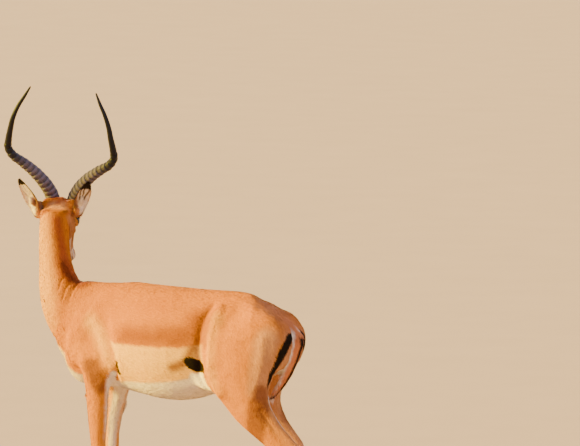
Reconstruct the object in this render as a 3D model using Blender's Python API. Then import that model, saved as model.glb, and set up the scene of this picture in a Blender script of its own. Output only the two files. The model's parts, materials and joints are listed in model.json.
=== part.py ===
"""A life-size impala ram, standing with its neck upright and its head turned to its right.

Units are metres, +X runs towards the head end, +Y to the animal's left and +Z up.
The flesh is modelled whole, from lofts whose sections are named sizes and from muscle
ellipsoids; it is fused, softened and thinned out, then parted into nodes by thin cuts.
Horns, ears, eyes, tail and hooves are solids of their own in seats cut for them.
"""

import math

import bmesh
import bpy
import numpy as np
from mathutils import Matrix, Vector

# ---------------------------------------------------------------- driving sizes
GAP = 0.0004  # air between neighbouring solids at a parting cut
SEAT_GAP = 0.0005  # air round a piece that sits in a seat
ORIGIN_SHIFT = Vector((-0.026, 0.0447, 0.0))  # puts the middle of the bounding box at 0, 0

BODY_VOXEL = 0.0055  # cell size while the body is fused
BODY_TRIANGLES = 3600
HEAD_VOXEL = 0.0030
HEAD_TRIANGLES = 950

CORONET_Z = 0.040  # top of the hooves
HEAD_ROOT = Vector((0.466, -0.050, 1.127))  # middle of the back of the skull
HEAD_YAW = math.radians(-72.0)
HEAD_PITCH = math.radians(-47.0)
HEAD_ROLL = math.radians(5.0)

# Trunk: x, height of the back, height of the belly, half width, height where it is widest
TRUNK = (
    (-0.505, 0.775, 0.700, 0.030, 0.735),
    (-0.480, 0.812, 0.640, 0.058, 0.730),
    (-0.430, 0.840, 0.600, 0.084, 0.735),
    (-0.360, 0.868, 0.590, 0.100, 0.740),
    (-0.280, 0.883, 0.580, 0.108, 0.735),
    (-0.200, 0.887, 0.528, 0.117, 0.715),
    (-0.120, 0.888, 0.500, 0.132, 0.690),
    (-0.050, 0.889, 0.490, 0.142, 0.675),
    (0.020, 0.890, 0.493, 0.142, 0.670),
    (0.080, 0.892, 0.503, 0.134, 0.670),
    (0.140, 0.897, 0.513, 0.122, 0.672),
    (0.200, 0.901, 0.520, 0.110, 0.680),
    (0.250, 0.897, 0.524, 0.102, 0.690),
    (0.300, 0.892, 0.540, 0.094, 0.705),
    (0.345, 0.887, 0.580, 0.083, 0.725),
    (0.385, 0.876, 0.640, 0.068, 0.755),
    (0.415, 0.862, 0.700, 0.050, 0.785),
    (0.436, 0.845, 0.750, 0.030, 0.800),
)

# Neck: height, x, y, half width, depth to the nape, depth to the throat, turn in degrees
NECK = (
    (0.660, 0.340, 0.000, 0.060, 0.070, 0.080, 0.0),
    (0.700, 0.352, 0.000, 0.071, 0.080, 0.108, 0.0),
    (0.740, 0.372, 0.000, 0.074, 0.100, 0.110, 0.0),
    (0.790, 0.398, 0.000, 0.072, 0.117, 0.102, 0.0),
    (0.840, 0.420, 0.000, 0.067, 0.102, 0.091, -6.0),
    (0.890, 0.439, -0.002, 0.061, 0.083, 0.078, -15.0),
    (0.940, 0.451, -0.006, 0.057, 0.070, 0.067, -28.0),
    (0.990, 0.459, -0.011, 0.056, 0.063, 0.062, -42.0),
    (1.040, 0.463, -0.017, 0.055, 0.058, 0.061, -55.0),
    (1.090, 0.465, -0.024, 0.054, 0.055, 0.060, -66.0),
    (1.130, 0.465, -0.034, 0.047, 0.047, 0.050, -73.0),
)

# Head: distance from the back of the skull, half width, rise to the brow, drop to the jaw
HEAD = (
    (-0.024, 0.020, 0.018, 0.020),
    (-0.012, 0.036, 0.033, 0.038),
    (0.010, 0.048, 0.043, 0.054),
    (0.040, 0.053, 0.050, 0.064),
    (0.070, 0.053, 0.051, 0.064),
    (0.100, 0.048, 0.047, 0.057),
    (0.130, 0.040, 0.040, 0.048),
    (0.160, 0.032, 0.034, 0.040),
    (0.190, 0.0265, 0.0295, 0.0335),
    (0.220, 0.0230, 0.0255, 0.0300),
    (0.243, 0.0220, 0.0220, 0.0280),
    (0.258, 0.0185, 0.0160, 0.0240),
    (0.267, 0.0105, 0.0080, 0.0150),
)

# Fore leg: height, x, y, half thickness, depth to the front, depth to the back
FORE_LEG = (
    (0.700, 0.285, 0.052, 0.036, 0.075, 0.080),
    (0.640, 0.258, 0.074, 0.042, 0.072, 0.078),
    (0.590, 0.240, 0.085, 0.040, 0.060, 0.064),
    (0.545, 0.234, 0.088, 0.036, 0.050, 0.049),
    (0.500, 0.231, 0.088, 0.032, 0.047, 0.042),
    (0.440, 0.231, 0.086, 0.028, 0.042, 0.037),
    (0.380, 0.232, 0.084, 0.025, 0.036, 0.032),
    (0.340, 0.232, 0.082, 0.0240, 0.0315, 0.0275),
    (0.308, 0.232, 0.081, 0.0250, 0.0290, 0.0270),
    (0.278, 0.231, 0.080, 0.0200, 0.0205, 0.0230),
    (0.242, 0.230, 0.079, 0.0155, 0.0155, 0.0180),
    (0.170, 0.229, 0.078, 0.0145, 0.0142, 0.0170),
    (0.128, 0.230, 0.078, 0.0165, 0.0160, 0.0195),
    (0.104, 0.233, 0.078, 0.0190, 0.0180, 0.0230),
    (0.078, 0.243, 0.078, 0.0175, 0.0165, 0.0180),
    (0.054, 0.255, 0.078, 0.0200, 0.0190, 0.0190),
    (0.030, 0.263, 0.078, 0.0205, 0.0210, 0.0210),
)

# Hind leg: height, x, y, half thickness, depth to the front, depth to the back
HIND_LEG = (
    (0.850, -0.325, 0.040, 0.026, 0.070, 0.070),
    (0.800, -0.335, 0.062, 0.045, 0.115, 0.125),
    (0.750, -0.340, 0.074, 0.055, 0.135, 0.152),
    (0.700, -0.342, 0.079, 0.059, 0.142, 0.150),
    (0.650, -0.340, 0.081, 0.058, 0.138, 0.138),
    (0.600, -0.338, 0.082, 0.054, 0.130, 0.114),
    (0.555, -0.340, 0.084, 0.048, 0.112, 0.096),
    (0.515, -0.350, 0.086, 0.042, 0.101, 0.090),
    (0.475, -0.373, 0.087, 0.037, 0.090, 0.087),
    (0.435, -0.405, 0.088, 0.032, 0.079, 0.086),
    (0.400, -0.440, 0.088, 0.028, 0.066, 0.088),
    (0.370, -0.472, 0.088, 0.0250, 0.056, 0.086),
    (0.345, -0.497, 0.088, 0.0240, 0.045, 0.074),
    (0.320, -0.512, 0.087, 0.0240, 0.034, 0.052),
    (0.295, -0.517, 0.086, 0.0225, 0.0270, 0.0350),
    (0.260, -0.517, 0.085, 0.0170, 0.0190, 0.0230),
    (0.190, -0.514, 0.084, 0.0148, 0.0155, 0.0185),
    (0.132, -0.512, 0.084, 0.0168, 0.0172, 0.0205),
    (0.106, -0.509, 0.084, 0.0190, 0.0190, 0.0235),
    (0.079, -0.499, 0.084, 0.0175, 0.0170, 0.0185),
    (0.054, -0.487, 0.084, 0.0200, 0.0190, 0.0190),
    (0.030, -0.480, 0.084, 0.0205, 0.0210, 0.0210),
)
RIGHT_FORE_STEP = 0.040  # the right feet stand this much further forward than the left
RIGHT_HIND_STEP = 0.088

# Horn: sideways from the middle of the head, backwards, up from the brow, radius
HORN = (
    (0.0300, -0.004, -0.018, 0.0225),
    (0.0380, 0.008, 0.032, 0.0240),
    (0.0520, 0.026, 0.0640, 0.0235),
    (0.0720, 0.046, 0.0930, 0.0222),
    (0.1050, 0.068, 0.127, 0.0198),
    (0.1400, 0.088, 0.154, 0.0174),
    (0.1730, 0.104, 0.177, 0.0148),
    (0.1870, 0.114, 0.199, 0.0134),
    (0.1850, 0.132, 0.232, 0.0120),
    (0.1780, 0.150, 0.269, 0.0104),
    (0.1690, 0.163, 0.311, 0.0088),
    (0.1510, 0.170, 0.357, 0.0072),
    (0.1335, 0.170, 0.389, 0.0058),
    (0.1150, 0.166, 0.426, 0.0026),
)
HORN_RINGS = 13
HORN_RING_HEIGHT = 0.0016
HORN_RINGED_SHARE = 0.68  # share of the horn that carries rings

# Ear: distance along it, half width, depth of the cup
EAR = (
    (-0.032, 0.0165, 0.016),
    (0.000, 0.0215, 0.018),
    (0.020, 0.0262, 0.018),
    (0.042, 0.0280, 0.016),
    (0.068, 0.0260, 0.012),
    (0.092, 0.0205, 0.009),
    (0.111, 0.0138, 0.006),
    (0.125, 0.0055, 0.003),
)
EAR_WALL = 0.0052

# Tail: x, y, height, half width, half thickness
TAIL = (
    (-0.440, 0.000, 0.818, 0.018, 0.016),
    (-0.478, 0.000, 0.800, 0.021, 0.018),
    (-0.500, 0.000, 0.770, 0.023, 0.018),
    (-0.506, 0.000, 0.730, 0.025, 0.017),
    (-0.498, 0.001, 0.685, 0.027, 0.016),
    (-0.483, 0.002, 0.645, 0.028, 0.016),
    (-0.463, 0.003, 0.605, 0.028, 0.016),
    (-0.440, 0.004, 0.570, 0.026, 0.015),
    (-0.418, 0.005, 0.540, 0.019, 0.012),
    (-0.404, 0.005, 0.520, 0.008, 0.007),
)

EYE_RADIUS = 0.0165
EYE_PLACE = (0.081, 0.0430, 0.017)  # forward, sideways, up from the back of the skull

COAT_RED = (0.52, 0.235, 0.095, 1.0)
COAT_PALE = (0.66, 0.40, 0.21, 1.0)
HORN_COLOUR = (0.045, 0.036, 0.030, 1.0)
HOOF_COLOUR = (0.030, 0.026, 0.024, 1.0)
EYE_COLOUR = (0.012, 0.008, 0.006, 1.0)


# ---------------------------------------------------------------- small helpers
def clear_scene():
    for obj in list(bpy.data.objects):
        bpy.data.objects.remove(obj, do_unlink=True)


def material(name, colour, roughness):
    made = bpy.data.materials.new(name)
    made.use_nodes = True
    shader = made.node_tree.nodes["Principled BSDF"]
    shader.inputs["Base Color"].default_value = colour
    shader.inputs["Roughness"].default_value = roughness
    shader.inputs["Metallic"].default_value = 0.0
    return made


def new_object(name, mesh):
    obj = bpy.data.objects.new(name, mesh)
    bpy.context.scene.collection.objects.link(obj)
    return obj


def smooth_rows(table, step):
    """Rows of a table of sections, read off a smooth curve through them every `step`."""
    rows = np.array(table, dtype=float)
    places = np.concatenate(([0.0], np.cumsum(np.linalg.norm(np.diff(rows[:, :3], axis=0), axis=1))))
    slopes = np.gradient(rows, places, axis=0)
    count = max(3, int(round(places[-1] / step)) + 1)
    wanted = np.linspace(0.0, places[-1], count)
    spot = np.clip(np.searchsorted(places, wanted, side="right") - 1, 0, len(places) - 2)
    length = (places[spot + 1] - places[spot])[:, None]
    t = (wanted[:, None] - places[spot][:, None]) / length
    a, b = rows[spot], rows[spot + 1]
    ta, tb = slopes[spot] * length, slopes[spot + 1] * length
    return (
        (2 * t**3 - 3 * t**2 + 1) * a
        + (t**3 - 2 * t**2 + t) * ta
        + (-2 * t**3 + 3 * t**2) * b
        + (t**3 - t**2) * tb
    )


def round_power(value, power):
    return math.copysign(abs(value) ** power, value)


def loft(name, rings):
    """A closed tube through rings of points, each ring a circle moved into place."""
    bm = bmesh.new()
    sides = len(rings[0])
    loops = []
    for ring in rings:
        circle = bmesh.ops.create_circle(bm, segments=sides, radius=0.001)
        verts = circle["verts"]
        for vert, place in zip(verts, ring):
            vert.co = place
        edges = [bm.edges.get((verts[i], verts[(i + 1) % sides])) for i in range(sides)]
        loops.append((verts, edges))
    for (_, lower), (_, upper) in zip(loops, loops[1:]):
        bmesh.ops.bridge_loops(bm, edges=lower + upper)
    for verts, _ in (loops[0], loops[-1]):
        bmesh.ops.contextual_create(bm, geom=list(verts))
    bmesh.ops.recalc_face_normals(bm, faces=bm.faces)
    mesh = bpy.data.meshes.new(name)
    bm.to_mesh(mesh)
    bm.free()
    return new_object(name, mesh)


def section(centre, side, up, half_width, rise, drop, upper=1.0, lower=1.0, sides=24):
    """A rounded section; `upper` and `lower` below 1 make it boxier, above 1 sharper."""
    ring = []
    for i in range(sides):
        angle = 2 * math.pi * i / sides
        c, s = math.cos(angle), math.sin(angle)
        power = upper if s > 0 else lower
        across = round_power(c, power) * half_width
        along = round_power(s, power) * (rise if s > 0 else drop)
        ring.append(centre + side * across + up * along)
    return ring


def ellipsoid(name, centre, radii, turn=None, sides=24):
    bm = bmesh.new()
    bmesh.ops.create_uvsphere(bm, u_segments=sides, v_segments=sides // 2, radius=1.0)
    mesh = bpy.data.meshes.new(name)
    bm.to_mesh(mesh)
    bm.free()
    obj = new_object(name, mesh)
    place = Matrix.Translation(Vector(centre))
    if turn is not None:
        place = place @ turn.to_4x4()
    mesh.transform(place @ Matrix.Diagonal(Vector((*radii, 1.0))))
    return obj


def box(name, low, high):
    bm = bmesh.new()
    bmesh.ops.create_cube(bm, size=1.0)
    mesh = bpy.data.meshes.new(name)
    bm.to_mesh(mesh)
    bm.free()
    obj = new_object(name, mesh)
    low, high = Vector(low), Vector(high)
    mesh.transform(Matrix.Translation((low + high) / 2) @ Matrix.Diagonal(Vector((*(high - low), 1.0))))
    return obj


def half_space(name, point, normal, size=3.0):
    """A large box whose one face lies on a plane and which reaches along its normal."""
    obj = box(name, (-size, -size, 0.0), (size, size, size))
    turn = Vector(normal).normalized().to_track_quat("Z", "Y").to_matrix().to_4x4()
    obj.data.transform(Matrix.Translation(Vector(point)) @ turn)
    return obj


def bake(obj):
    """Turn an object and its modifiers into a plain mesh."""
    graph = bpy.context.evaluated_depsgraph_get()
    mesh = bpy.data.meshes.new_from_object(obj.evaluated_get(graph))
    obj.modifiers.clear()
    obj.data = mesh
    return obj


def fuse(name, pieces):
    bm = bmesh.new()
    for piece in pieces:
        bm.from_mesh(piece.data)
        bpy.data.objects.remove(piece, do_unlink=True)
    mesh = bpy.data.meshes.new(name)
    bm.to_mesh(mesh)
    bm.free()
    return new_object(name, mesh)


def soften(obj, voxel, rounds, triangles, broad_rounds=0, broad_above=0.0, broad_fade=0.1):
    """Fuse overlapping shells into one skin, melt the creases and thin it out.

    Broad rounds melt only what stands above a height, so that thin limbs keep their girth.
    """
    remesh = obj.modifiers.new("fuse", "REMESH")
    remesh.mode = "VOXEL"
    remesh.voxel_size = voxel
    bake(obj)
    if broad_rounds:
        group = obj.vertex_groups.new(name="broad")
        for vert in obj.data.vertices:
            share = (vert.co.z - broad_above) / broad_fade
            if share > 0.0:
                group.add([vert.index], min(1.0, share), "REPLACE")
        broad = obj.modifiers.new("broad_melt", "SMOOTH")
        broad.factor = 0.5
        broad.iterations = broad_rounds
        broad.vertex_group = "broad"
    melt = obj.modifiers.new("melt", "SMOOTH")
    melt.factor = 0.5
    melt.iterations = rounds
    bake(obj)
    thin = obj.modifiers.new("thin", "DECIMATE")
    thin.use_collapse_triangulate = True
    thin.ratio = triangles / (2.0 * len(obj.data.polygons))
    return bake(obj)


def copy_of(obj, name):
    return new_object(name, obj.data.copy())


def cut(obj, cutter, operation, keep=False):
    step = obj.modifiers.new("cut", "BOOLEAN")
    step.operation = operation
    step.solver = "EXACT"
    step.object = cutter
    bake(obj)
    if not keep:
        bpy.data.objects.remove(cutter, do_unlink=True)
    return obj


def keep_largest(obj):
    """Drop stray crumbs that a cut may leave beside the body of a node."""
    bm = bmesh.new()
    bm.from_mesh(obj.data)
    left = set(bm.verts)
    best = set()
    while left:
        seed = left.pop()
        group, queue = {seed}, [seed]
        while queue:
            vert = queue.pop()
            for edge in vert.link_edges:
                other = edge.other_vert(vert)
                if other in left:
                    left.discard(other)
                    group.add(other)
                    queue.append(other)
        if len(group) > len(best):
            best = group
    bmesh.ops.delete(bm, geom=[v for v in bm.verts if v not in best], context="VERTS")
    bmesh.ops.dissolve_degenerate(bm, dist=0.00002, edges=bm.edges)
    bmesh.ops.triangulate(bm, faces=bm.faces)
    bm.to_mesh(obj.data)
    bm.free()
    return obj


# ---------------------------------------------------------------- frames
heading = Matrix.Rotation(HEAD_YAW, 3, "Z")
HEAD_TURN = heading @ Matrix.Rotation(-HEAD_PITCH, 3, "Y") @ Matrix.Rotation(HEAD_ROLL, 3, "X")
HEAD_F, HEAD_S, HEAD_U = HEAD_TURN.col[0], HEAD_TURN.col[1], HEAD_TURN.col[2]


def on_head(forward, side, up):
    return HEAD_ROOT + HEAD_F * forward + HEAD_S * side + HEAD_U * up


# ---------------------------------------------------------------- lofts of the flesh
def trunk_loft():
    rings = []
    for x, back, belly, half, widest in smooth_rows(TRUNK, 0.018):
        rings.append(
            section(
                Vector((x, 0.0, widest)), Vector((0, 1, 0)), Vector((0, 0, 1)),
                half, back - widest, widest - belly, upper=1.10, lower=0.94, sides=32,
            )
        )
    return loft("trunk_form", rings)


def neck_loft(name="neck_form", table=NECK):
    rings = []
    for z, x, y, half, nape, throat, turn in smooth_rows(table, 0.018):
        angle = math.radians(turn)
        ahead = Vector((math.cos(angle), math.sin(angle), 0.0))
        side = Vector((-math.sin(angle), math.cos(angle), 0.0))
        rings.append(section(Vector((x, y, z)), side, ahead, half, throat, nape, 1.0, 1.05, 28))
    return loft(name, rings)


def head_loft():
    rings = []
    for forward, half, rise, drop in smooth_rows(HEAD, 0.009):
        rings.append(
            section(on_head(forward, 0.0, 0.0), HEAD_S, HEAD_U, half, rise, drop, 0.86, 1.12, 28)
        )
    return loft("head_form", rings)


def leg_loft(name, table, side_sign, step, knee_z, hip_z):
    """A leg; `step` moves the foot forwards, growing from hip_z down to knee_z."""
    rings = []
    for z, x, y, half, front, back in smooth_rows(table, 0.014):
        share = min(1.0, max(0.0, (hip_z - z) / (hip_z - knee_z)))
        shift = step * share * share * (3 - 2 * share)
        centre = Vector((x + shift, side_sign * y, z))
        rings.append(section(centre, Vector((0, 1, 0)), Vector((1, 0, 0)), half, front, back, 1.0, 1.0, 20))
    return loft(name, rings)


def tail_loft(name, grow=0.0):
    rows = smooth_rows(TAIL, 0.026)
    centres = [Vector(row[:3]) for row in rows]
    rings = []
    for i, row in enumerate(rows):
        before, after = centres[max(i - 1, 0)], centres[min(i + 1, len(rows) - 1)]
        along = (after - before).normalized()
        side = Vector((0, 1, 0))
        out = along.cross(side).normalized()
        end = grow * ((i == len(rows) - 1) - (i == 0))
        rings.append(
            section(centres[i] + along * end, side, out, row[3] + grow, row[4] + grow, row[4] + grow, sides=12)
        )
    return loft(name, rings)


def ear_loft(name, root, along, opening, grow=0.0, root_only=False):
    """A cupped leaf; `opening` is the way its hollow faces."""
    along = along.normalized()
    opening = (opening - along * opening.dot(along)).normalized()
    side = opening.cross(along).normalized()
    rings = []
    rows = smooth_rows([(d, 0.0, 0.0, w, c) for d, w, c in EAR], 0.016)
    if root_only:
        rows = [row for row in rows if row[0] < 0.012]
    half_count = 7
    for i, (distance, _, _, half, cup) in enumerate(rows):
        end = grow * ((i == len(rows) - 1) - (i == 0))
        centre = root + along * (distance + end)
        closed = min(1.0, max(0.0, (0.030 - distance) / 0.030))  # the root is a plain oval
        outer, inner = [], []
        for k in range(half_count):
            angle = math.pi * k / (half_count - 1)
            x, y = math.cos(angle), math.sin(angle)
            outer.append(centre + side * x * (half + grow) - opening * (y * cup + grow * y))
        wall = EAR_WALL * min(1.0, half / 0.012)
        for k in range(1, half_count - 1):
            angle = math.pi * (half_count - 1 - k) / (half_count - 1)
            x, y = math.cos(angle), math.sin(angle)
            hollow = (cup - wall) * y
            lift = -hollow * (1 - closed) + closed * cup * 0.55 * y
            if grow:
                lift = max(lift, 0.001 + closed * cup * 0.55 * y)  # a seat has no core standing in the cup
            inner.append(centre + side * x * (half - 0.6 * wall * (1 - closed) + grow) + opening * (lift + grow))
        rings.append(outer + inner)
    return loft(name, rings)


def horn_rows():
    rows = smooth_rows(HORN, 0.0045)
    places = np.concatenate(([0.0], np.cumsum(np.linalg.norm(np.diff(rows[:, :3], axis=0), axis=1))))
    return rows, places


def horn_loft(name, side_sign, grow=0.0, root_only=False):
    """A ringed horn: thick, ribbed and lyre shaped, with a smooth tip."""
    brow = on_head(0.045, 0.0, 0.045)
    level = heading.col[0]
    left = heading.col[1]
    roll = Matrix.Rotation(HEAD_ROLL, 3, level)
    left, up = roll @ left, roll @ Vector((0, 0, 1))
    rows, places = horn_rows()
    total = places[-1]
    stations = []
    pitch = total * HORN_RINGED_SHARE / HORN_RINGS
    for i in range(2 * HORN_RINGS):
        stations.append((i * pitch / 2, HORN_RING_HEIGHT * (1 if i % 2 else -0.4)))
    for share in np.linspace(HORN_RINGED_SHARE, 1.0, 8):
        stations.append((share * total, 0.0))
    if root_only:
        stations = [(0.0, 0.0), (0.03, 0.0), (0.055, 0.0), (0.085, 0.0)]
    rings = []
    centres = []
    for place, ridge in stations:
        row = [np.interp(place, places, rows[:, k]) for k in range(4)]
        centre = brow + left * (side_sign * row[0]) - level * row[1] + up * row[2]
        fade = min(1.0, row[3] / 0.015)
        centres.append((centre, row[3] + ridge * fade + grow))
    for i, (centre, radius) in enumerate(centres):
        before, after = centres[max(i - 1, 0)][0], centres[min(i + 1, len(centres) - 1)][0]
        along = (after - before).normalized()
        side = along.cross(level).normalized()
        out = side.cross(along).normalized()
        end = grow * ((i == len(centres) - 1) - (i == 0))
        rings.append(section(centre + along * end, side, out, radius * 0.94, radius, radius, sides=9))
    return loft(name, rings)


def hoof(name, centre_x, centre_y, inner_sign, length=0.062, width=0.0245, height=CORONET_Z - GAP):
    """One claw: flat sole, upright heel, sloping toe, straight inner wall."""
    rings = []
    for share, reach, wide in ((0.0, 1.00, 1.00), (0.12, 1.02, 1.03), (0.55, 0.86, 0.96), (1.0, 0.66, 0.84)):
        z = height * share
        heel = -0.45 * length * (0.94 + 0.06 * share)
        toe = 0.55 * length * reach
        middle = (heel + toe) / 2
        half = (toe - heel) / 2
        ring = []
        for i in range(14):
            angle = 2 * math.pi * i / 14
            c, s = math.cos(angle), math.sin(angle)
            x = centre_x + middle + round_power(c, 0.85) * half
            spread = 0.5 * width * wide * (1.0 - 0.28 * max(0.0, c) ** 2)
            flat = 0.80 if s * inner_sign > 0 else 1.0
            y = centre_y + round_power(s, 0.75) * spread * flat
            ring.append(Vector((x, y, z)))
        rings.append(ring)
    return loft(name, rings)


# ---------------------------------------------------------------- build
clear_scene()
coat_red = material("coat_red", COAT_RED, 0.85)
coat_pale = material("coat_pale", COAT_PALE, 0.85)
horn_matter = material("horn_black", HORN_COLOUR, 0.45)
hoof_matter = material("hoof_black", HOOF_COLOUR, 0.40)
eye_matter = material("eye_dark", EYE_COLOUR, 0.08)

LEGS = {
    "fore_leg_left": (FORE_LEG, 1, 0.0, 0.36, 0.62),
    "fore_leg_right": (FORE_LEG, -1, RIGHT_FORE_STEP, 0.36, 0.62),
    "hind_leg_left": (HIND_LEG, 1, 0.0, 0.34, 0.72),
    "hind_leg_right": (HIND_LEG, -1, RIGHT_HIND_STEP, 0.34, 0.72),
}

forms = [trunk_loft(), neck_loft()]
for leg, values in LEGS.items():
    forms.append(leg_loft(leg + "_form", *values))
for side in (1, -1):
    lean = Matrix.Rotation(math.radians(-24.0), 3, "Y")
    forms.append(ellipsoid("shoulder", (0.285, side * 0.070, 0.735), (0.060, 0.034, 0.150), lean))
    forms.append(ellipsoid("upper_arm", (0.270, side * 0.078, 0.640), (0.085, 0.034, 0.060), lean))
    forms.append(ellipsoid("hip_bone", (-0.232, side * 0.056, 0.822), (0.062, 0.042, 0.038)))
    forms.append(ellipsoid("flank_fold", (-0.212, side * 0.092, 0.592), (0.062, 0.020, 0.060)))
    forms.append(ellipsoid("buttock", (-0.455, side * 0.046, 0.705), (0.045, 0.040, 0.085)))
forms.append(ellipsoid("breast", (0.392, 0.0, 0.690), (0.051, 0.052, 0.080)))
forms.append(ellipsoid("brisket", (0.352, 0.0, 0.603), (0.050, 0.056, 0.085), Matrix.Rotation(math.radians(28.0), 3, "Y")))
forms.append(ellipsoid("scrotum", (-0.300, 0.0, 0.560), (0.032, 0.026, 0.042)))
body = soften(fuse("body_form", forms), BODY_VOXEL, 6, BODY_TRIANGLES, 34, 0.47, 0.10)

skull = [head_loft(), neck_loft("nape_form", NECK[5:])]
for side in (1, -1):
    skull.append(ellipsoid("jaw_muscle", on_head(0.058, side * 0.026, -0.026), (0.046, 0.021, 0.036), HEAD_TURN))
    skull.append(ellipsoid("brow_ridge", on_head(0.074, side * 0.036, 0.028), (0.030, 0.017, 0.018), HEAD_TURN))
    skull.append(ellipsoid("cheek_bone", on_head(0.098, side * 0.034, -0.004), (0.032, 0.014, 0.016), HEAD_TURN))
    skull.append(ellipsoid("nostril_wing", on_head(0.252, side * 0.0125, 0.006), (0.014, 0.009, 0.011), HEAD_TURN))
    skull.append(ellipsoid("horn_boss", on_head(0.040, side * 0.030, 0.040), (0.028, 0.024, 0.022), HEAD_TURN))
    skull.append(ellipsoid("ear_boss", on_head(0.000, side * 0.040, 0.018), (0.024, 0.020, 0.024), HEAD_TURN))
skull.append(ellipsoid("chin", on_head(0.240, 0.0, -0.021), (0.022, 0.015, 0.012), HEAD_TURN))
skull.append(ellipsoid("poll", on_head(0.004, 0.0, 0.026), (0.030, 0.034, 0.024), HEAD_TURN))
head_whole = soften(fuse("head_whole", skull), HEAD_VOXEL, 5, HEAD_TRIANGLES)

# the throat corner, where jaw and neck meet, carries the cut between them
THROAT = on_head(0.072, 0.0, -0.078)
HEAD_CUT = (HEAD_F * 0.36 + HEAD_U * 0.93).normalized()
NECK_CUT_POINT = Vector((0.345, 0.0, 0.800))
NECK_CUT = Vector((0.80, 0.0, 0.60)).normalized()

nodes = {}
nodes["head"] = cut(head_whole, half_space("cutter", THROAT + HEAD_CUT * GAP / 2, HEAD_CUT), "INTERSECT")

neck = cut(copy_of(body, "neck"), half_space("cutter", NECK_CUT_POINT + NECK_CUT * GAP / 2, NECK_CUT), "INTERSECT")
neck = cut(neck, half_space("cutter", THROAT - HEAD_CUT * GAP / 2, -HEAD_CUT), "INTERSECT")
nodes["neck"] = neck

LEG_BOXES = {
    "fore_leg_left": ((0.100, 0.034, -0.05), (0.400, 0.300, 0.560)),
    "fore_leg_right": ((0.100, -0.300, -0.05), (0.400, -0.034, 0.560)),
    "hind_leg_left": ((-0.700, 0.012, -0.05), (-0.150, 0.300, 0.640)),
    "hind_leg_right": ((-0.700, -0.300, -0.05), (-0.150, -0.012, 0.640)),
}
trunk = cut(copy_of(body, "trunk"), half_space("cutter", NECK_CUT_POINT - NECK_CUT * GAP / 2, -NECK_CUT), "INTERSECT")
for leg, (low, high) in LEG_BOXES.items():
    low, high = Vector(low), Vector(high)
    spare = Vector((GAP, GAP, GAP)) / 2
    trunk = cut(trunk, box("cutter", low - spare, high + spare), "DIFFERENCE")
    limb = cut(copy_of(body, leg), box("cutter", low + spare, high - spare), "INTERSECT")
    limb = cut(limb, half_space("cutter", (0, 0, CORONET_Z), (0, 0, 1)), "INTERSECT")
    nodes[leg] = limb
nodes["trunk"] = trunk
bpy.data.objects.remove(body, do_unlink=True)

nodes["tail"] = tail_loft("tail")
for name in ("trunk", "hind_leg_left", "hind_leg_right"):
    cut(nodes[name], tail_loft("cutter", SEAT_GAP), "DIFFERENCE")

# ears, horns and eyes sit in seats in the head
EARS = {
    "ear_left": (on_head(-0.002, 0.078, -0.015), (0.267, 0.438, 0.856), (0.215, 0.940, -0.180)),
    "ear_right": (on_head(-0.012, -0.079, -0.002), (-0.500, 0.382, 0.777), (-0.696, 0.564, -0.566)),
}
for ear, (root, along, opening) in EARS.items():
    along, opening = Vector(along), Vector(opening)
    for neighbour in ("head", "neck"):
        cut(nodes[neighbour], ear_loft("cutter", root, along, opening, SEAT_GAP), "DIFFERENCE")
    nodes[ear] = ear_loft(ear, root, along, opening)
for side, sign in (("left", 1), ("right", -1)):
    cut(nodes["head"], horn_loft("cutter", sign, SEAT_GAP + HORN_RING_HEIGHT, True), "DIFFERENCE")
    nodes["horn_" + side] = horn_loft("horn_" + side, sign)
    forward, aside, up = EYE_PLACE
    centre = on_head(forward, sign * aside, up)
    seat = ellipsoid("cutter", centre, (EYE_RADIUS + SEAT_GAP,) * 3, HEAD_TURN, 14)
    cut(nodes["head"], seat, "DIFFERENCE")
    nodes["eye_" + side] = ellipsoid("eye_" + side, centre, (EYE_RADIUS,) * 3, HEAD_TURN, 14)

for leg, (table, sign, step, _, _) in LEGS.items():
    foot = table[-1]
    inner = ("in", -1), ("out", 1)
    for label, aside in inner:
        name = leg.replace("leg", "hoof") + "_" + label
        y = sign * (foot[2] + aside * 0.0132)
        nodes[name] = hoof(name, foot[1] + step + 0.004, y, -aside * sign)

for name, node in nodes.items():
    node.name = name
    if node.name != name:
        raise RuntimeError(name)
    keep_largest(node)
    for polygon in node.data.polygons:
        polygon.use_smooth = True
    if "horn" in name:
        matter = horn_matter
    elif "hoof" in name:
        matter = hoof_matter
    elif "eye" in name:
        matter = eye_matter
    elif "leg" in name or name == "tail":
        matter = coat_pale
    else:
        matter = coat_red
    node.data.materials.clear()
    node.data.materials.append(matter)
    node.data.transform(Matrix.Translation(ORIGIN_SHIFT))
    node.data.update()
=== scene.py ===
# %% [markdown]
# # A life-size impala ram, from solids to a furred model
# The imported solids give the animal's true outline. This lesson dresses them: one skin drawn over
# all the flesh, then thousands of small tufts of hair that lie the way a real coat lies, then the
# hard parts that stay bare, which are the horns, the hooves and the eyes.
# Real coats are built the same way: the skin decides the form and the hair only softens it.

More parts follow.
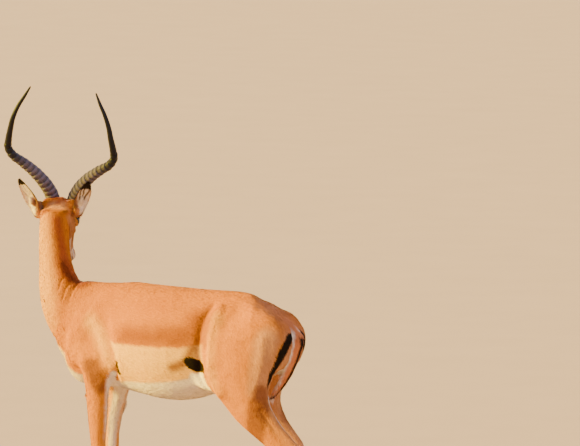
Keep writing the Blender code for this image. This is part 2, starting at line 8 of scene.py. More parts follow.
import bpy
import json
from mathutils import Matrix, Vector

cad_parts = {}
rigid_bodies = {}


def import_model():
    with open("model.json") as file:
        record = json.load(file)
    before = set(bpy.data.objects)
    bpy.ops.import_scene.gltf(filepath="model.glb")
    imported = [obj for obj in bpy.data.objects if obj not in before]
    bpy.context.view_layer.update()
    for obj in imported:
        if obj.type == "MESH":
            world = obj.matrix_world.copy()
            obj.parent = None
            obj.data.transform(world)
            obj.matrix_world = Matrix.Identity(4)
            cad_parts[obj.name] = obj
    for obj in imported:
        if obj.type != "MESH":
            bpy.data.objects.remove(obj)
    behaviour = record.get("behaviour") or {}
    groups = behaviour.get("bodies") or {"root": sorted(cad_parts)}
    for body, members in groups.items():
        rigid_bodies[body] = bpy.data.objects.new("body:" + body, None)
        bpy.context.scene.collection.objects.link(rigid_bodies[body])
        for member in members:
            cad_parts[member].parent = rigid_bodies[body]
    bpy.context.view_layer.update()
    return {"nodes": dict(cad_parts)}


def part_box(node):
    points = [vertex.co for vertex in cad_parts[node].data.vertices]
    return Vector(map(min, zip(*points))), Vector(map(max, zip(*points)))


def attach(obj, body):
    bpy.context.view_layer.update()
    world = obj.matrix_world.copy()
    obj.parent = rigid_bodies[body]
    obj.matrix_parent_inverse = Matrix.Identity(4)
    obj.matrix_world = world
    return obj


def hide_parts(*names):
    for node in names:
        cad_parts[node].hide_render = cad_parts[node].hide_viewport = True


for left_over in list(bpy.data.objects):
    bpy.data.objects.remove(left_over, do_unlink=True)
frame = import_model()

# %% Tools used in every step
import functools
import json
import math
import time

import bmesh
import numpy as np
from mathutils import Matrix, Vector

started = time.time()


def clock(step):
    print(f"{step}: {time.time() - started:.1f} s after the start")


# %% [markdown]
# ## Where things are
# An animal is easier to describe from its own middle than from the middle of its bounding box, so
# every formula below works in the animal's frame: +X to the chest, +Y to its left, +Z up, and y = 0
# in its plane of symmetry. The head has a frame of its own, because it is turned and tilted: one
# axis to the nose, one to its left and one out of the brow.

# %% The animal's frame and the frame of its head
BODY_SHIFT = np.array((-0.026, 0.0447, 0.0))  # from the animal's frame to the frame of the solids
HEAD_ROOT = np.array((0.466, -0.050, 1.127))  # middle of the back of the skull
HEAD_YAW, HEAD_PITCH, HEAD_ROLL = (math.radians(a) for a in (-72.0, -47.0, 5.0))

heading = Matrix.Rotation(HEAD_YAW, 3, "Z")
head_turn = np.array(heading @ Matrix.Rotation(-HEAD_PITCH, 3, "Y") @ Matrix.Rotation(HEAD_ROLL, 3, "X"))
TO_NOSE, TO_HEAD_LEFT, TO_BROW = head_turn[:, 0], head_turn[:, 1], head_turn[:, 2]


def on_head(forward, left, up):
    return HEAD_ROOT + forward * TO_NOSE + left * TO_HEAD_LEFT + up * TO_BROW


def head_place(place):
    """Forward, left and up in the head's frame."""
    return (place - HEAD_ROOT) @ head_turn


THROAT = on_head(0.072, 0.0, -0.078)
HEAD_SIDE_OF_CUT = 0.36 * TO_NOSE + 0.93 * TO_BROW
NECK_BASE, NECK_BASE_AXIS = np.array((0.345, 0.0, 0.800)), np.array((0.80, 0.0, 0.60))
EYE_RADIUS, EYE_PLACE = 0.0165, (0.081, 0.0430, 0.017)
SIDES = {"left": 1.0, "right": -1.0}
print("nose points along", TO_NOSE.round(3))

# %% [markdown]
# ## Small pieces of arithmetic
# A few helpers do most of the shaping. `ramp` is a soft switch between two values, `to_line` says
# how far points are from a bent line and how far along it they lie, and `smooth_rows` reads a
# smooth curve through the rows of a table of sizes, as a draughtsman bends a batten through pins.
# Long tables are written in millimetres, and `mm` turns them into metres, which everything else uses.

# %% Helpers for fields over the body
def mm(*rows):
    """Rows of millimetres as metres."""
    return np.array(rows) / 1000.0


def ramp(low, high, value):
    share = np.clip((value - low) / (high - low), 0.0, 1.0)
    return share * share * (3.0 - 2.0 * share)


def unit(vectors):
    return vectors / np.maximum(np.linalg.norm(vectors, axis=-1, keepdims=True), 1e-9)


def to_line(place, line):
    """Distance to a bent line, and the place of the nearest point along it from 0 to 1."""
    line = np.asarray(line, dtype=float)
    lengths = np.linalg.norm(np.diff(line, axis=0), axis=1)
    done = length_along(line)
    best = np.full(len(place), 1e9)
    along = np.zeros(len(place))
    for i, (a, b) in enumerate(zip(line, line[1:])):
        step = b - a
        share = np.clip(((place - a) @ step) / (step @ step), 0.0, 1.0)
        gap = distance(place - a, share[:, None] * step)
        nearer = gap < best
        best[nearer] = gap[nearer]
        along[nearer] = (done[i] + share[nearer] * lengths[i]) / done[-1]
    return best, along


def distance(place, point):
    return np.linalg.norm(place - point, axis=1)


def near(place, line, reach):
    """Above zero within a reach of a bent line."""
    return reach - to_line(place, line)[0]


def both_sides(place):
    """The same places folded onto the left side."""
    folded = place.copy()
    folded[:, 1] = np.abs(folded[:, 1])
    return folded


def length_along(points):
    """How far each point lies along the bent line through them all."""
    return np.concatenate(([0.0], np.cumsum(np.linalg.norm(np.diff(points, axis=0), axis=1))))


def smooth_rows(table, step):
    """A smooth curve through the rows of a table, read at even steps."""
    rows = np.array(table, dtype=float)
    places = length_along(rows[:, :3])
    slopes = np.gradient(rows, places, axis=0)
    wanted = np.linspace(0.0, places[-1], max(3, int(round(places[-1] / step)) + 1))
    spot = np.clip(np.searchsorted(places, wanted, side="right") - 1, 0, len(places) - 2)
    length = (places[spot + 1] - places[spot])[:, None]
    t = (wanted[:, None] - places[spot][:, None]) / length
    a, b, ta, tb = rows[spot], rows[spot + 1], slopes[spot] * length, slopes[spot + 1] * length
    return (
        (2 * t**3 - 3 * t**2 + 1) * a + (t**3 - 2 * t**2 + t) * ta
        + (-2 * t**3 + 3 * t**2) * b + (t**3 - t**2) * tb
    )


def add_object(name, mesh):
    obj = bpy.data.objects.new(name, mesh)
    bpy.context.scene.collection.objects.link(obj)
    return obj


def note(mesh, label, values):
    """Keep a number or a vector on every point of a mesh."""
    values = np.asarray(values, dtype=np.float32)
    kind, field = ("FLOAT_VECTOR", "vector") if values.ndim > 1 else ("FLOAT", "value")
    mesh.attributes.new(label, kind, "POINT").data.foreach_set(field, values.ravel())


def tube(name, rings, shift=BODY_SHIFT):
    """A closed mesh round a row of rings that all have the same number of points."""
    rings = np.asarray(rings)
    count, sides = rings.shape[:2]
    faces = [
        (i * sides + k, i * sides + (k + 1) % sides, (i + 1) * sides + (k + 1) % sides, (i + 1) * sides + k)
        for i in range(count - 1) for k in range(sides)
    ]
    faces += [tuple(range(sides))[::-1], tuple(range((count - 1) * sides, count * sides))]
    mesh = bpy.data.meshes.new(name)
    mesh.from_pydata((rings.reshape(-1, 3) + shift).tolist(), [], faces)
    tidy = bmesh.new()
    tidy.from_mesh(mesh)
    bmesh.ops.recalc_face_normals(tidy, faces=tidy.faces)
    tidy.to_mesh(mesh)
    tidy.free()
    mesh.polygons.foreach_set("use_smooth", [True] * len(mesh.polygons))
    return mesh


# %% [markdown]
# ## The horns' centre lines
# An impala's horn is a lyre: it leaves the brow upright, sweeps out and back, turns at a clear
# elbow, and comes in again at the tip. One row per station gives how far out, back and up the
# middle of the horn lies and how thick it is there. Both horns read the same table, one mirrored.

# %% The line and girth of a horn
HORN = mm(
    (30, -4, -18, 22.5), (38, 8, 32, 24), (52, 26, 64, 23.5), (72, 46, 93, 22.2), (105, 68, 127, 19.8),
    (140, 88, 154, 17.4), (173, 104, 177, 14.8), (187, 114, 199, 13.4), (185, 132, 232, 12),
    (178, 150, 269, 10.4), (169, 163, 311, 8.8), (151, 170, 357, 7.2), (133.5, 170, 389, 5.8),
    (115, 166, 426, 2.6),
)
HORN_ROOT = 0.024  # the sheath starts this far down inside the skull
ROOT_TAPER = 22.0  # share of the girth lost to a metre of depth in the skull
INTO_SKULL = unit(-0.35 * np.array((0.0, 0.0, 1.0)) - 0.94 * TO_BROW)
horn_rows = smooth_rows(HORN, 0.0030)
horn_spots = length_along(horn_rows[:, :3])
HORN_LENGTH = horn_spots[-1]
level_ahead = np.array(heading.col[0])
rolled = np.array(Matrix.Rotation(HEAD_ROLL, 3, heading.col[0]))
level_left, level_up = rolled @ np.array(heading.col[1]), rolled @ np.array((0.0, 0.0, 1.0))
HORN_BROW = on_head(0.045, 0.0, 0.045)


def horn_line(side_sign, spots):
    """Centres, radii and the two cross directions of a horn at distances along it."""
    row = [np.interp(spots, horn_spots, horn_rows[:, k]) for k in range(4)]
    centres = (
        HORN_BROW + level_left * (side_sign * row[0])[:, None]
        - level_ahead * row[1][:, None] + level_up * row[2][:, None]
    )
    deeper = np.maximum(0.0, -spots)
    centres = centres + INTO_SKULL * deeper[:, None]
    radii = row[3] * (1.0 - ROOT_TAPER * deeper)
    ahead = unit(np.gradient(centres, axis=0))
    across = unit(np.cross(ahead, level_ahead))
    return centres, radii, across, np.cross(across, ahead)


def ring_of(centres, across, front, radii_by_angle):
    """Rings round a line of centres, with a radius for every angle."""
    sides = radii_by_angle.shape[1]
    angle = np.linspace(0.0, 2.0 * math.pi, sides, endpoint=False)
    return (
        centres[:, None]
        + across[:, None] * (np.cos(angle) * radii_by_angle)[..., None]
        + front[:, None] * (np.sin(angle) * radii_by_angle)[..., None]
    )


print(f"a horn is {HORN_LENGTH * 1000:.0f} mm along its curve")

# %% [markdown]
# ## The skin
# On the animal one hide covers everything, so the solids of trunk, neck, head, ears, tail and legs
# must melt into one surface with no seam. Booleans would keep every facet; a voxel remesh rebuilds
# the union as an even net of small squares, and smoothing then removes the facets. Each solid is
# first swollen a little, so that neighbours overlap across the thin gaps between them. The eyes and
# the roots of the horns are added too, because the skin has to close round them.

# %% Gather the flesh and fuse it
EARS = {
    "ear_left": (on_head(-0.002, 0.078, -0.015), (0.267, 0.438, 0.856), (0.215, 0.940, -0.180)),
    "ear_right": (on_head(-0.012, -0.079, -0.002), (-0.500, 0.382, 0.777), (-0.696, 0.564, -0.566)),
}
FLESH = (
    "trunk", "neck", "head", "tail", "ear_left", "ear_right",
    "fore_leg_left", "fore_leg_right", "hind_leg_left", "hind_leg_right",
)
SWELL = 0.0010
SKIN_VOXEL = 0.0022
PLUG_LENGTH, PLUG_INSET = 0.062, 0.0015  # the skin closes round a slightly thinner stub of horn


def horn_plug(side_sign):
    centres, radii, across, front = horn_line(side_sign, np.linspace(0.0, PLUG_LENGTH, 8))
    girth = np.repeat((radii - PLUG_INSET)[:, None], 20, axis=1)
    return tube("horn_plug", ring_of(centres, across, front, girth))


def ear_funnel(side_sign, ear):
    """The wide root of an ear, spread over the side of the skull."""
    root, along, opening = (np.array(v) for v in EARS[ear])
    on_skull, in_ear = on_head(0.014, side_sign * 0.052, 0.022), root + 0.014 * along - 0.004 * opening
    path = smooth_rows((
        (*on_head(0.020, side_sign * 0.030, 0.026), 0.013),
        (*(0.5 * on_skull + 0.5 * in_ear), 0.015),
        (*(root + 0.030 * along - 0.006 * opening), 0.0115),
        (*(root + 0.046 * along - 0.005 * opening), 0.0060),
    ), 0.006)
    ahead = unit(np.gradient(path[:, :3], axis=0))
    across = unit(np.cross(ahead, TO_NOSE))
    rings = ring_of(path[:, :3], across, np.cross(across, ahead), np.repeat(path[:, 3:4], 16, axis=1))
    return tube("ear_funnel", rings)


def fuse_flesh():
    """One object with all the flesh in it, each solid swollen a little."""
    whole = bmesh.new()
    parts = [(frame["nodes"][name].data, SWELL) for name in FLESH]
    parts += [(frame["nodes"][name].data, 0.0) for name in ("eye_left", "eye_right")]
    parts += [(horn_plug(sign), 0.0) for sign in SIDES.values()]
    parts += [(ear_funnel(sign, "ear_" + side), 0.0) for side, sign in SIDES.items()]
    for mesh, swell in parts:
        part = bmesh.new()
        part.from_mesh(mesh)
        bmesh.ops.remove_doubles(part, verts=part.verts, dist=0.00001)
        part.normal_update()
        for vert in part.verts:
            vert.co += vert.normal * swell
        spare = bpy.data.meshes.new("spare")
        part.to_mesh(spare)
        part.free()
        whole.from_mesh(spare)
        bpy.data.meshes.remove(spare)
    mesh = bpy.data.meshes.new("skin")
    whole.to_mesh(mesh)
    whole.free()
    return add_object("skin", mesh)


def bake(obj):
    """Turn an object and its modifiers into a plain mesh without groups."""
    graph = bpy.context.evaluated_depsgraph_get()
    mesh = bpy.data.meshes.new_from_object(obj.evaluated_get(graph))
    obj.modifiers.clear()
    obj.data = mesh
    obj.vertex_groups.clear()


skin = fuse_flesh()
remesh = skin.modifiers.new("fuse", "REMESH")
remesh.mode = "VOXEL"
remesh.voxel_size = SKIN_VOXEL
bake(skin)
print("fused skin has", len(skin.data.vertices), "points")
clock("fused")

# %% [markdown]
# ## Which part of the animal a point belongs to
# The coat changes from part to part, so every later step asks how much of a point is head, ear,
# tail, leg or neck. Each answer is a share from 0 to 1 that fades over a centimetre or two, which
# keeps the fur from showing a border where one part ends.

# %% Sizes of the tail, the legs and the thigh
EAR_LENGTH = 0.125
TAIL = mm(
    (-440, 0, 818, 18), (-478, 0, 800, 21), (-500, 0, 770, 23), (-506, 0, 730, 25), (-498, 1, 685, 27),
    (-483, 2, 645, 28), (-463, 3, 605, 28), (-440, 4, 570, 26), (-418, 5, 540, 19), (-404, 5, 520, 8),
)
TAIL_PLACES = np.linspace(0, 1, len(TAIL))
# height, middle of the leg ahead and aside, depth to the front, depth to the back
FORE_LEG = mm(
    (30, 263, 78, 21, 21), (104, 233, 78, 18, 23), (242, 230, 79, 16, 18), (308, 232, 81, 29, 27),
    (440, 231, 86, 42, 37), (545, 234, 88, 50, 49), (640, 258, 74, 72, 78), (700, 285, 52, 75, 80),
)
HIND_LEG = mm(
    (30, -480, 84, 21, 21), (106, -509, 84, 19, 23.5), (190, -514, 84, 15.5, 18.5),
    (260, -517, 85, 19, 23), (320, -512, 87, 34, 52), (370, -472, 88, 56, 86), (435, -405, 88, 79, 86),
    (515, -350, 86, 101, 90), (600, -338, 82, 130, 114), (700, -342, 79, 142, 150),
    (850, -325, 40, 70, 70),
)
# table, how much further forward the right foot stands, and between which heights that grows
LEGS = {"fore": (FORE_LEG, 0.040, 0.36, 0.62), "hind": (HIND_LEG, 0.088, 0.34, 0.72)}
THIGH_EDGE = mm(  # height, place of the thigh's front edge
    (500, -255), (525, -238), (587, -196), (634, -182), (704, -184), (766, -193),
)


# %% Shares of the body's parts
def behind_thigh_edge(place):
    """How far a point lies behind the front edge of the thigh."""
    return np.interp(place[:, 2], THIGH_EDGE[:, 0], THIGH_EDGE[:, 1]) - place[:, 0]


def leg_at(leg, place):
    """The leg's middle ahead and aside and its depth to the back at each point's height."""
    table, step, knee_z, hip_z = LEGS[leg]
    ahead, aside, back = (np.interp(place[:, 2], table[:, 0], table[:, k]) for k in (1, 2, 4))
    moved = ramp(0.0, 1.0, (hip_z - place[:, 2]) / (hip_z - knee_z)) * step
    return ahead + np.where(place[:, 1] < 0.0, moved, 0.0), aside, back


def on_tail_line(along, rows=TAIL):
    """A place or a step along the middle line of the tail."""
    return np.stack([np.interp(along, TAIL_PLACES, rows[:, k]) for k in range(3)], axis=1)


def ear_place(place, ear):
    """Distance along an ear, across it and into its opening."""
    root, along, opening = (np.array(v) for v in EARS[ear])
    along = unit(along)
    opening = unit(opening - along * (opening @ along))
    aside = np.cross(opening, along)
    offset = place - root
    return offset @ along, offset @ aside, offset @ opening


def parts_of(place):
    """How much of each point is head, ear, tail, fore leg, hind leg and neck."""
    x, y, z = place.T
    share = {}
    beyond = (place - THROAT) @ HEAD_SIDE_OF_CUT
    on_muzzle = head_place(place)[:, 0] > 0.10
    share["head"] = ramp(-0.012, 0.012, beyond) * ramp(0.96, 1.00, z)
    share["head"] = np.where(on_muzzle, ramp(-0.05, -0.02, beyond), share["head"])
    share["head"] *= ramp(0.90, 0.93, z) * ramp(0.36, 0.40, x)
    share["ear"] = np.zeros(len(place))
    for ear in EARS:
        along, across, out = ear_place(place, ear)
        on_ear = ramp(0.040, 0.033, np.hypot(across, out)) * ramp(-0.004, 0.012, along)
        share["ear"] = np.maximum(share["ear"], on_ear)
    gap, along = to_line(place, TAIL[:, :3])
    radius = np.interp(along, TAIL_PLACES, TAIL[:, 3])
    behind_rump = ramp(-0.43, -0.45, x - 0.12 * (along > 0.6))
    share["tail"] = ramp(radius + 0.010, radius + 0.004, gap) * behind_rump
    ahead, _, back = leg_at("fore", place)
    share["fore"] = ramp(0.585, 0.555, z) * ramp(-0.024, -0.008, x - ahead + back)
    share["hind"] = ramp(0.66, 0.60, z) * ramp(-0.004, 0.010, behind_thigh_edge(place))
    share["hind"] *= ramp(0.020, 0.045, np.abs(y)) * (x < -0.1)
    share["hind"] *= 1.0 - share["tail"]
    share["neck"] = ramp(-0.03, 0.05, (place - NECK_BASE) @ NECK_BASE_AXIS) * (1.0 - share["head"])
    share["ear"] *= z > 1.0
    share["neck"] *= 1.0 - share["ear"]
    share["head"] *= 1.0 - share["ear"]
    share["leg"] = np.maximum(share["fore"], share["hind"])
    return share


def skin_points(obj):
    """Places of the points in the animal's frame, and their normals."""
    count = len(obj.data.vertices)
    flat = np.empty(count * 3)
    obj.data.vertices.foreach_get("co", flat)
    normals = np.empty(count * 3)
    obj.data.vertex_normals.foreach_get("vector", normals)
    return flat.reshape(-1, 3) - BODY_SHIFT, normals.reshape(-1, 3)


def set_points(obj, place):
    obj.data.vertices.foreach_set("co", (place + BODY_SHIFT).ravel())
    obj.data.update()


# %% Weighted smoothing
GROUP_STEPS = 20


def add_group(obj, name, weights):
    """A vertex group whose weights are rounded to a few steps, to fill it fast."""
    group = obj.vertex_groups.new(name=name)
    steps = np.round(weights * GROUP_STEPS).astype(int)
    for step in range(1, GROUP_STEPS + 1):
        picked = np.nonzero(steps == step)[0]
        if len(picked):
            group.add(picked.tolist(), step / GROUP_STEPS, "REPLACE")


def smooth_where(obj, name, weights, rounds):
    """Pull points towards their neighbours, as strongly as their weights say."""
    add_group(obj, name, np.clip(weights, 0.0, 1.0))
    smooth = obj.modifiers.new(name, "SMOOTH")
    smooth.factor, smooth.iterations, smooth.vertex_group = 0.5, rounds, name
    bake(obj)


# %% [markdown]
# ## Melt the facets, then thin the net
# Smoothing pulls every point towards its neighbours. Fat parts such as the trunk can take many
# rounds; thin ones such as ears and shins would shrivel, so a vertex group holds them back. The
# trunk then needs fewer points than the head, and Decimate spends them where the group says.

# %% Smooth by part
MELT_ROUNDS = 34
place, _ = skin_points(skin)
share = parts_of(place)
limb = share["leg"] * ramp(0.60, 0.42, place[:, 2])
face_share = share["head"] * ramp(0.015, 0.070, head_place(place)[:, 0])
free = 1.0 - 0.62 * face_share - 0.90 * share["ear"] - 0.45 * limb - 0.4 * share["tail"]
smooth_where(skin, "melt", np.maximum(free, 0.06), MELT_ROUNDS)

# %% Thin the net
SKIN_TRIANGLES = 120000
place, _ = skin_points(skin)
share = parts_of(place)
add_group(skin, "fine", np.clip(share["head"] + share["ear"] + 0.25 * share["neck"], 0.0, 1.0))
thin = skin.modifiers.new("thin", "DECIMATE")
thin.use_collapse_triangulate = True
thin.vertex_group = "fine"
thin.invert_vertex_group = True
thin.vertex_group_factor = 0.6
thin.ratio = min(1.0, SKIN_TRIANGLES / (2.0 * len(skin.data.polygons)))
bake(skin)
print("skin is thinned to", len(skin.data.polygons), "triangles")

# %% Ease the joins at the poll, the withers, the hip and the dock
EASE_ROUNDS = 110
HALF_ASIDE = np.array((1.0, 0.5, 1.0))
HIP_SEAM = mm((-205, 60, 860), (-225, 85, 845), (-260, 100, 830), (-300, 105, 800))
POLL_SEAM = mm((450, 20, 1100), (457, 10, 1125), (464, -34, 1150))
DOCK_SEAM = mm((-395, 0, 845), (-450, 0, 830), (-485, 0, 800))
WITHERS, WITHERS_SHAPE, WITHERS_REACH = (0.29, 0.0, 0.86), (1.0, 1.4, 1.0), 0.075

place, _ = skin_points(skin)
clear = np.ones(len(place))
for root, direction, _ in EARS.values():
    root, direction = np.array(root), np.array(direction)
    gap, _ = to_line(place, (root + 0.020 * direction, root + EAR_LENGTH * direction))
    clear = np.minimum(clear, ramp(0.022, 0.040, gap))
poll = clear * ramp(0.070, 0.034, to_line(place, POLL_SEAM)[0])
withers_gap = np.linalg.norm((place - WITHERS) / WITHERS_SHAPE, axis=1)
withers = np.exp(-((withers_gap / WITHERS_REACH) ** 2))
hip = ramp(0.055, 0.025, to_line(both_sides(place) * HALF_ASIDE, HIP_SEAM * HALF_ASIDE)[0])
dock = 0.45 * ramp(0.070, 0.040, to_line(place, DOCK_SEAM)[0])
smooth_where(skin, "ease", np.maximum.reduce((poll, withers, hip, dock)), EASE_ROUNDS)
clock("smoothed and thinned")


# %% [markdown]
# ## A finer net where the face needs it
# Lids, nostrils and lips are only a millimetre or two across, so the net round them is split into
# smaller triangles. On the rest of the body above the hocks only long edges are split, so that folds
# a centimetre wide can be shaped there. Detail is bought only where it shows.

# %% Halve the edges round the eyes and on the muzzle
def split_net(obj, chosen, longest=0.0):
    """Halve the chosen edges that are longer than a length."""
    bm = bmesh.new()
    bm.from_mesh(obj.data)
    bm.verts.ensure_lookup_table()
    picked = {bm.verts[i] for i in np.nonzero(chosen)[0]}
    edges = [edge for edge in bm.edges if picked.issuperset(edge.verts) and edge.calc_length() > longest]
    bmesh.ops.subdivide_edges(bm, edges=edges, cuts=1, use_grid_fill=True)
    bmesh.ops.triangulate(bm, faces=[face for face in bm.faces if len(face.verts) > 3])
    bm.to_mesh(obj.data)
    bm.free()
    obj.data.update()


EYES = {side: on_head(EYE_PLACE[0], sign * EYE_PLACE[1], EYE_PLACE[2]) for side, sign in SIDES.items()}
for eye_reach, with_muzzle in ((0.027, True), (0.024, False)):
    place, _ = skin_points(skin)
    eye_gap = np.min([distance(place, middle) for middle in EYES.values()], axis=0)
    local = head_place(place)
    muzzle = (local[:, 0] > 0.195) & (np.abs(local[:, 1]) < 0.04) & (np.abs(local[:, 2]) < 0.05)
    split_net(skin, (eye_gap < eye_reach) | (muzzle & with_muzzle))
print("skin has", len(skin.data.polygons), "triangles with the face refined")

# %% Halve the long edges of the body
LONGEST_EDGE, ABOVE_HOCKS = 0.0105, 0.42
for _ in range(3):
    place, _ = skin_points(skin)
    share = parts_of(place)
    split_net(skin, (place[:, 2] > ABOVE_HOCKS) & (share["head"] + share["ear"] < 0.2), LONGEST_EDGE)
place, _ = skin_points(skin)
share = parts_of(place)
off_head = 1.0 - np.clip(share["head"] + share["ear"], 0.0, 1.0)
smooth_where(skin, "relax", ramp(ABOVE_HOCKS, 0.50, place[:, 2]) * off_head, 8)
print("skin now has", len(skin.data.polygons), "triangles")
clock("net refined")

# %% [markdown]
# ## Muscle, fold and bone under the hide
# The solids give the big masses. The hide also shows thin things: the edge of the haunch, the fold
# in front of the thigh, the shoulder's rear edge, the tendon above the hock and the wrinkles where
# the neck bends back. Each is a soft ridge or groove along a short line. They could be sculpted by
# hand; a named line with a width and a height says the same and can be changed later.

# %% Ridges and grooves of the body
# name: line on the left side, half width, height, in millimetres; a height below zero is a groove
BODY_FORMS = {
    "haunch_front": ((
        (-246, 92, 822), (-236, 100, 796), (-229, 112, 745), (-227, 116, 690), (-224, 113, 625),
        (-234, 108, 583), (-262, 106, 545),
    ), 21, 11.5),
    "haunch_fill": ((
        (-280, 98, 822), (-258, 104, 790), (-252, 114, 745), (-250, 118, 700), (-250, 116, 650),
    ), 22, 7),
    "flank_hollow": ((
        (-210, 92, 835), (-190, 106, 790), (-182, 114, 740), (-180, 118, 680), (-178, 112, 620),
    ), 14, -7.5),
    "thigh_fold": (((-170, 108, 610), (-180, 102, 582), (-202, 96, 545), (-230, 90, 520)), 10, -6),
    "shoulder_rear": ((
        (236, 100, 770), (222, 108, 735), (200, 110, 680), (180, 110, 620), (178, 106, 575),
    ), 16, 3),
    "behind_shoulder": (((190, 105, 755), (178, 110, 720), (156, 112, 655), (148, 106, 600)), 17, -3.4),
    "arm_muscle": (((300, 85, 715), (262, 103, 700), (222, 110, 655)), 24, 2.4),
    "arm_hollow": (((255, 110, 640), (235, 118, 600), (222, 118, 560)), 15, -2.4),
    "armpit": (((146, 112, 622), (156, 98, 575), (166, 76, 545)), 8, -5.6),
    "tendon_groove": ((
        (-415, 112, 492), (-447, 112, 456), (-472, 110, 427), (-509, 107, 395), (-531, 104, 372),
    ), 9, -4.2),
    "thigh_rear": (((-432, 110, 740), (-428, 120, 680), (-415, 116, 600), (-400, 108, 540)), 16, 2.6),
    "stifle": (((-232, 108, 560), (-270, 112, 520)), 20, 2.4),
    "stifle_hollow": (((-290, 120, 590), (-315, 118, 545), (-345, 112, 500)), 18, -2.6),
    "neck_furrow": (((475, 45, 1010), (470, 52, 930), (455, 64, 850), (430, 70, 780)), 14, -1.8),
    "nape_fold_low": (((338, 0, 900), (346, 30, 882), (356, 52, 850), (360, 66, 815)), 4.5, -1.6),
    "nape_fold_middle": (((352, 0, 915), (364, 32, 897), (378, 54, 866), (384, 68, 830)), 4.5, -2),
    "nape_fold_high": (((368, 0, 938), (380, 30, 922), (396, 52, 893), (404, 64, 860)), 5, -1.8),
}
print("lines on the body", len(BODY_FORMS))

# %% Ridges and grooves of the head, in its own frame
HEAD_FORMS = {
    "jaw_edge": (((20, 41, -48), (90, 36, -56), (150, 26, -42)), 8, 1.6),
    "cheek_hollow": (((112, 43, -16), (140, 37, -12), (175, 29, -6)), 9, -2.2),
    "orbit_rim": (((58, 50, 30), (80, 52, 40), (103, 46, 34)), 6.5, 3),
    "zygomatic": (((112, 46, -2), (82, 53, -10), (45, 56, -10), (15, 55, -6)), 7.5, 2.6),
    "masseter": (((40, 52, -32), (80, 50, -42)), 18, 2.8),
    "muzzle_pinch": (((196, 26, 8), (214, 23, -4)), 13, -2.4),
    "nose_front": (((256, 0, 12), (264, 0, 2)), 12, 5),
    "nose_top": (((236, 8, 15), (252, 8, 12)), 9, 3.5),
    "chin_front": (((252, 0, -20), (240, 0, -24)), 11, 4.5),
    "nose_wing": (((236, 16, 12), (250, 19, 8), (257, 19, 0)), 7, 3.4),
    "nose_bone": (((90, 22, 50), (150, 14, 36), (215, 10, 26)), 7, 1.2),
    "temple": (((20, 49, 18), (45, 51, 12)), 12, -2.2),
    "nostril": (((240, 16.5, 7), (248, 16.5, 8), (257, 14.5, 4), (258, 13, -1.5)), 3, -6.8),
    "mouth": (((270, 0, -10.5), (258, 13, -12), (235, 19, -13.5), (205, 23.5, -10.5)), 2, -2.6),
    "upper_lip": (((262, 9, -6), (240, 18, -7), (215, 22, -5)), 4.8, 2.2),
    "chin": (((256, 4, -19), (238, 11, -23)), 7.5, 2.2),
    "lip_cleft": (((270, 0, 3), (270, 0, -9)), 1.4, -1.4),
}
print("lines on the head", len(HEAD_FORMS))

# %% Lift the skin along the lines and sink it under the hair
LIFT_FROM, LIFT_FULL = 0.040, 0.050  # heights between which the lift fades in above the hooves
CORONET, LEG_END = 0.0390, 0.0425  # the skin ends just inside the top of each hoof


def raised(forms, place, side_reach=1.0):
    """Total height of the forms; a side_reach under 1 widens their reach to the side."""
    squash = np.array((1.0, side_reach, 1.0))
    lift = np.zeros(len(place))
    for line, width, height in forms.values():
        gap, _ = to_line(place * squash, mm(*line) * squash)
        lift += height / 1000.0 * np.exp(-((gap / (width / 1000.0)) ** 2))
    return lift


def coat_depth(place, share):
    """How far under the tips of the hair the skin lies."""
    shin = share["leg"] * ramp(0.50, 0.36, place[:, 2])
    muzzle = share["head"] * ramp(0.14, 0.21, head_place(place)[:, 0])
    depth = 0.0029 - 0.0010 * shin - 0.0012 * share["head"] - 0.0006 * muzzle
    return depth - 0.0021 * share["ear"] + 0.0008 * share["tail"]


place, normals = skin_points(skin)
share = parts_of(place)
face = both_sides(head_place(place))
lift = raised(BODY_FORMS, both_sides(place), 0.45) * (1.0 - share["head"]) * (1.0 - share["tail"])
lift += raised(HEAD_FORMS, face) * ramp(-0.02, 0.01, face[:, 0]) * (share["head"] > 0.02)
lift -= coat_depth(place, share) + SWELL * (1.0 - 0.4 * share["ear"])
place = place + normals * (lift * ramp(LIFT_FROM, LIFT_FULL, place[:, 2]))[:, None]
low = place[:, 2] < LEG_END
place[low, 2] = np.minimum(place[low, 2], CORONET + (place[low, 2] - CORONET) * 0.5)
print("skin sinks by", (-lift).max().round(4), "m at most")

# %% [markdown]
# ## Lids
# An antelope's eye is a large ball that bulges past the skull, held by two lids. The skin over the
# ball is divided by an almond: inside it the skin is pushed behind the ball, and outside it the skin
# is kept just over the ball, so that its edge becomes the rim of a lid. Modelling lids by loops of
# faces would give the same edge, but this way the lids stay part of the one skin.

# %% Open the lids round each eye
LID_THICKNESS = 0.0015
EYE_AXES = {}
for side, sign in SIDES.items():
    outward = unit(0.12 * TO_NOSE + sign * 0.96 * TO_HEAD_LEFT + 0.14 * TO_BROW)
    to_corner = unit(TO_NOSE - 0.22 * TO_BROW)
    to_corner = unit(to_corner - outward * (to_corner @ outward))
    upward = np.cross(outward, to_corner)
    upward = upward if upward @ TO_BROW > 0 else -upward
    EYE_AXES[side] = (outward, to_corner, upward)


# the almond, in angles seen from the middle of the ball: half its length and its two heights
LID_HALF, UPPER_LID, LOWER_LID, LID_BEND = 1.12, 0.70, 0.54, 1.7


def lid_arch(along):
    """Share of a lid's full height at an angle along it, below zero past the corners."""
    return np.clip(1.0 - (np.abs(along) / LID_HALF) ** LID_BEND, -1.5, 1.0)


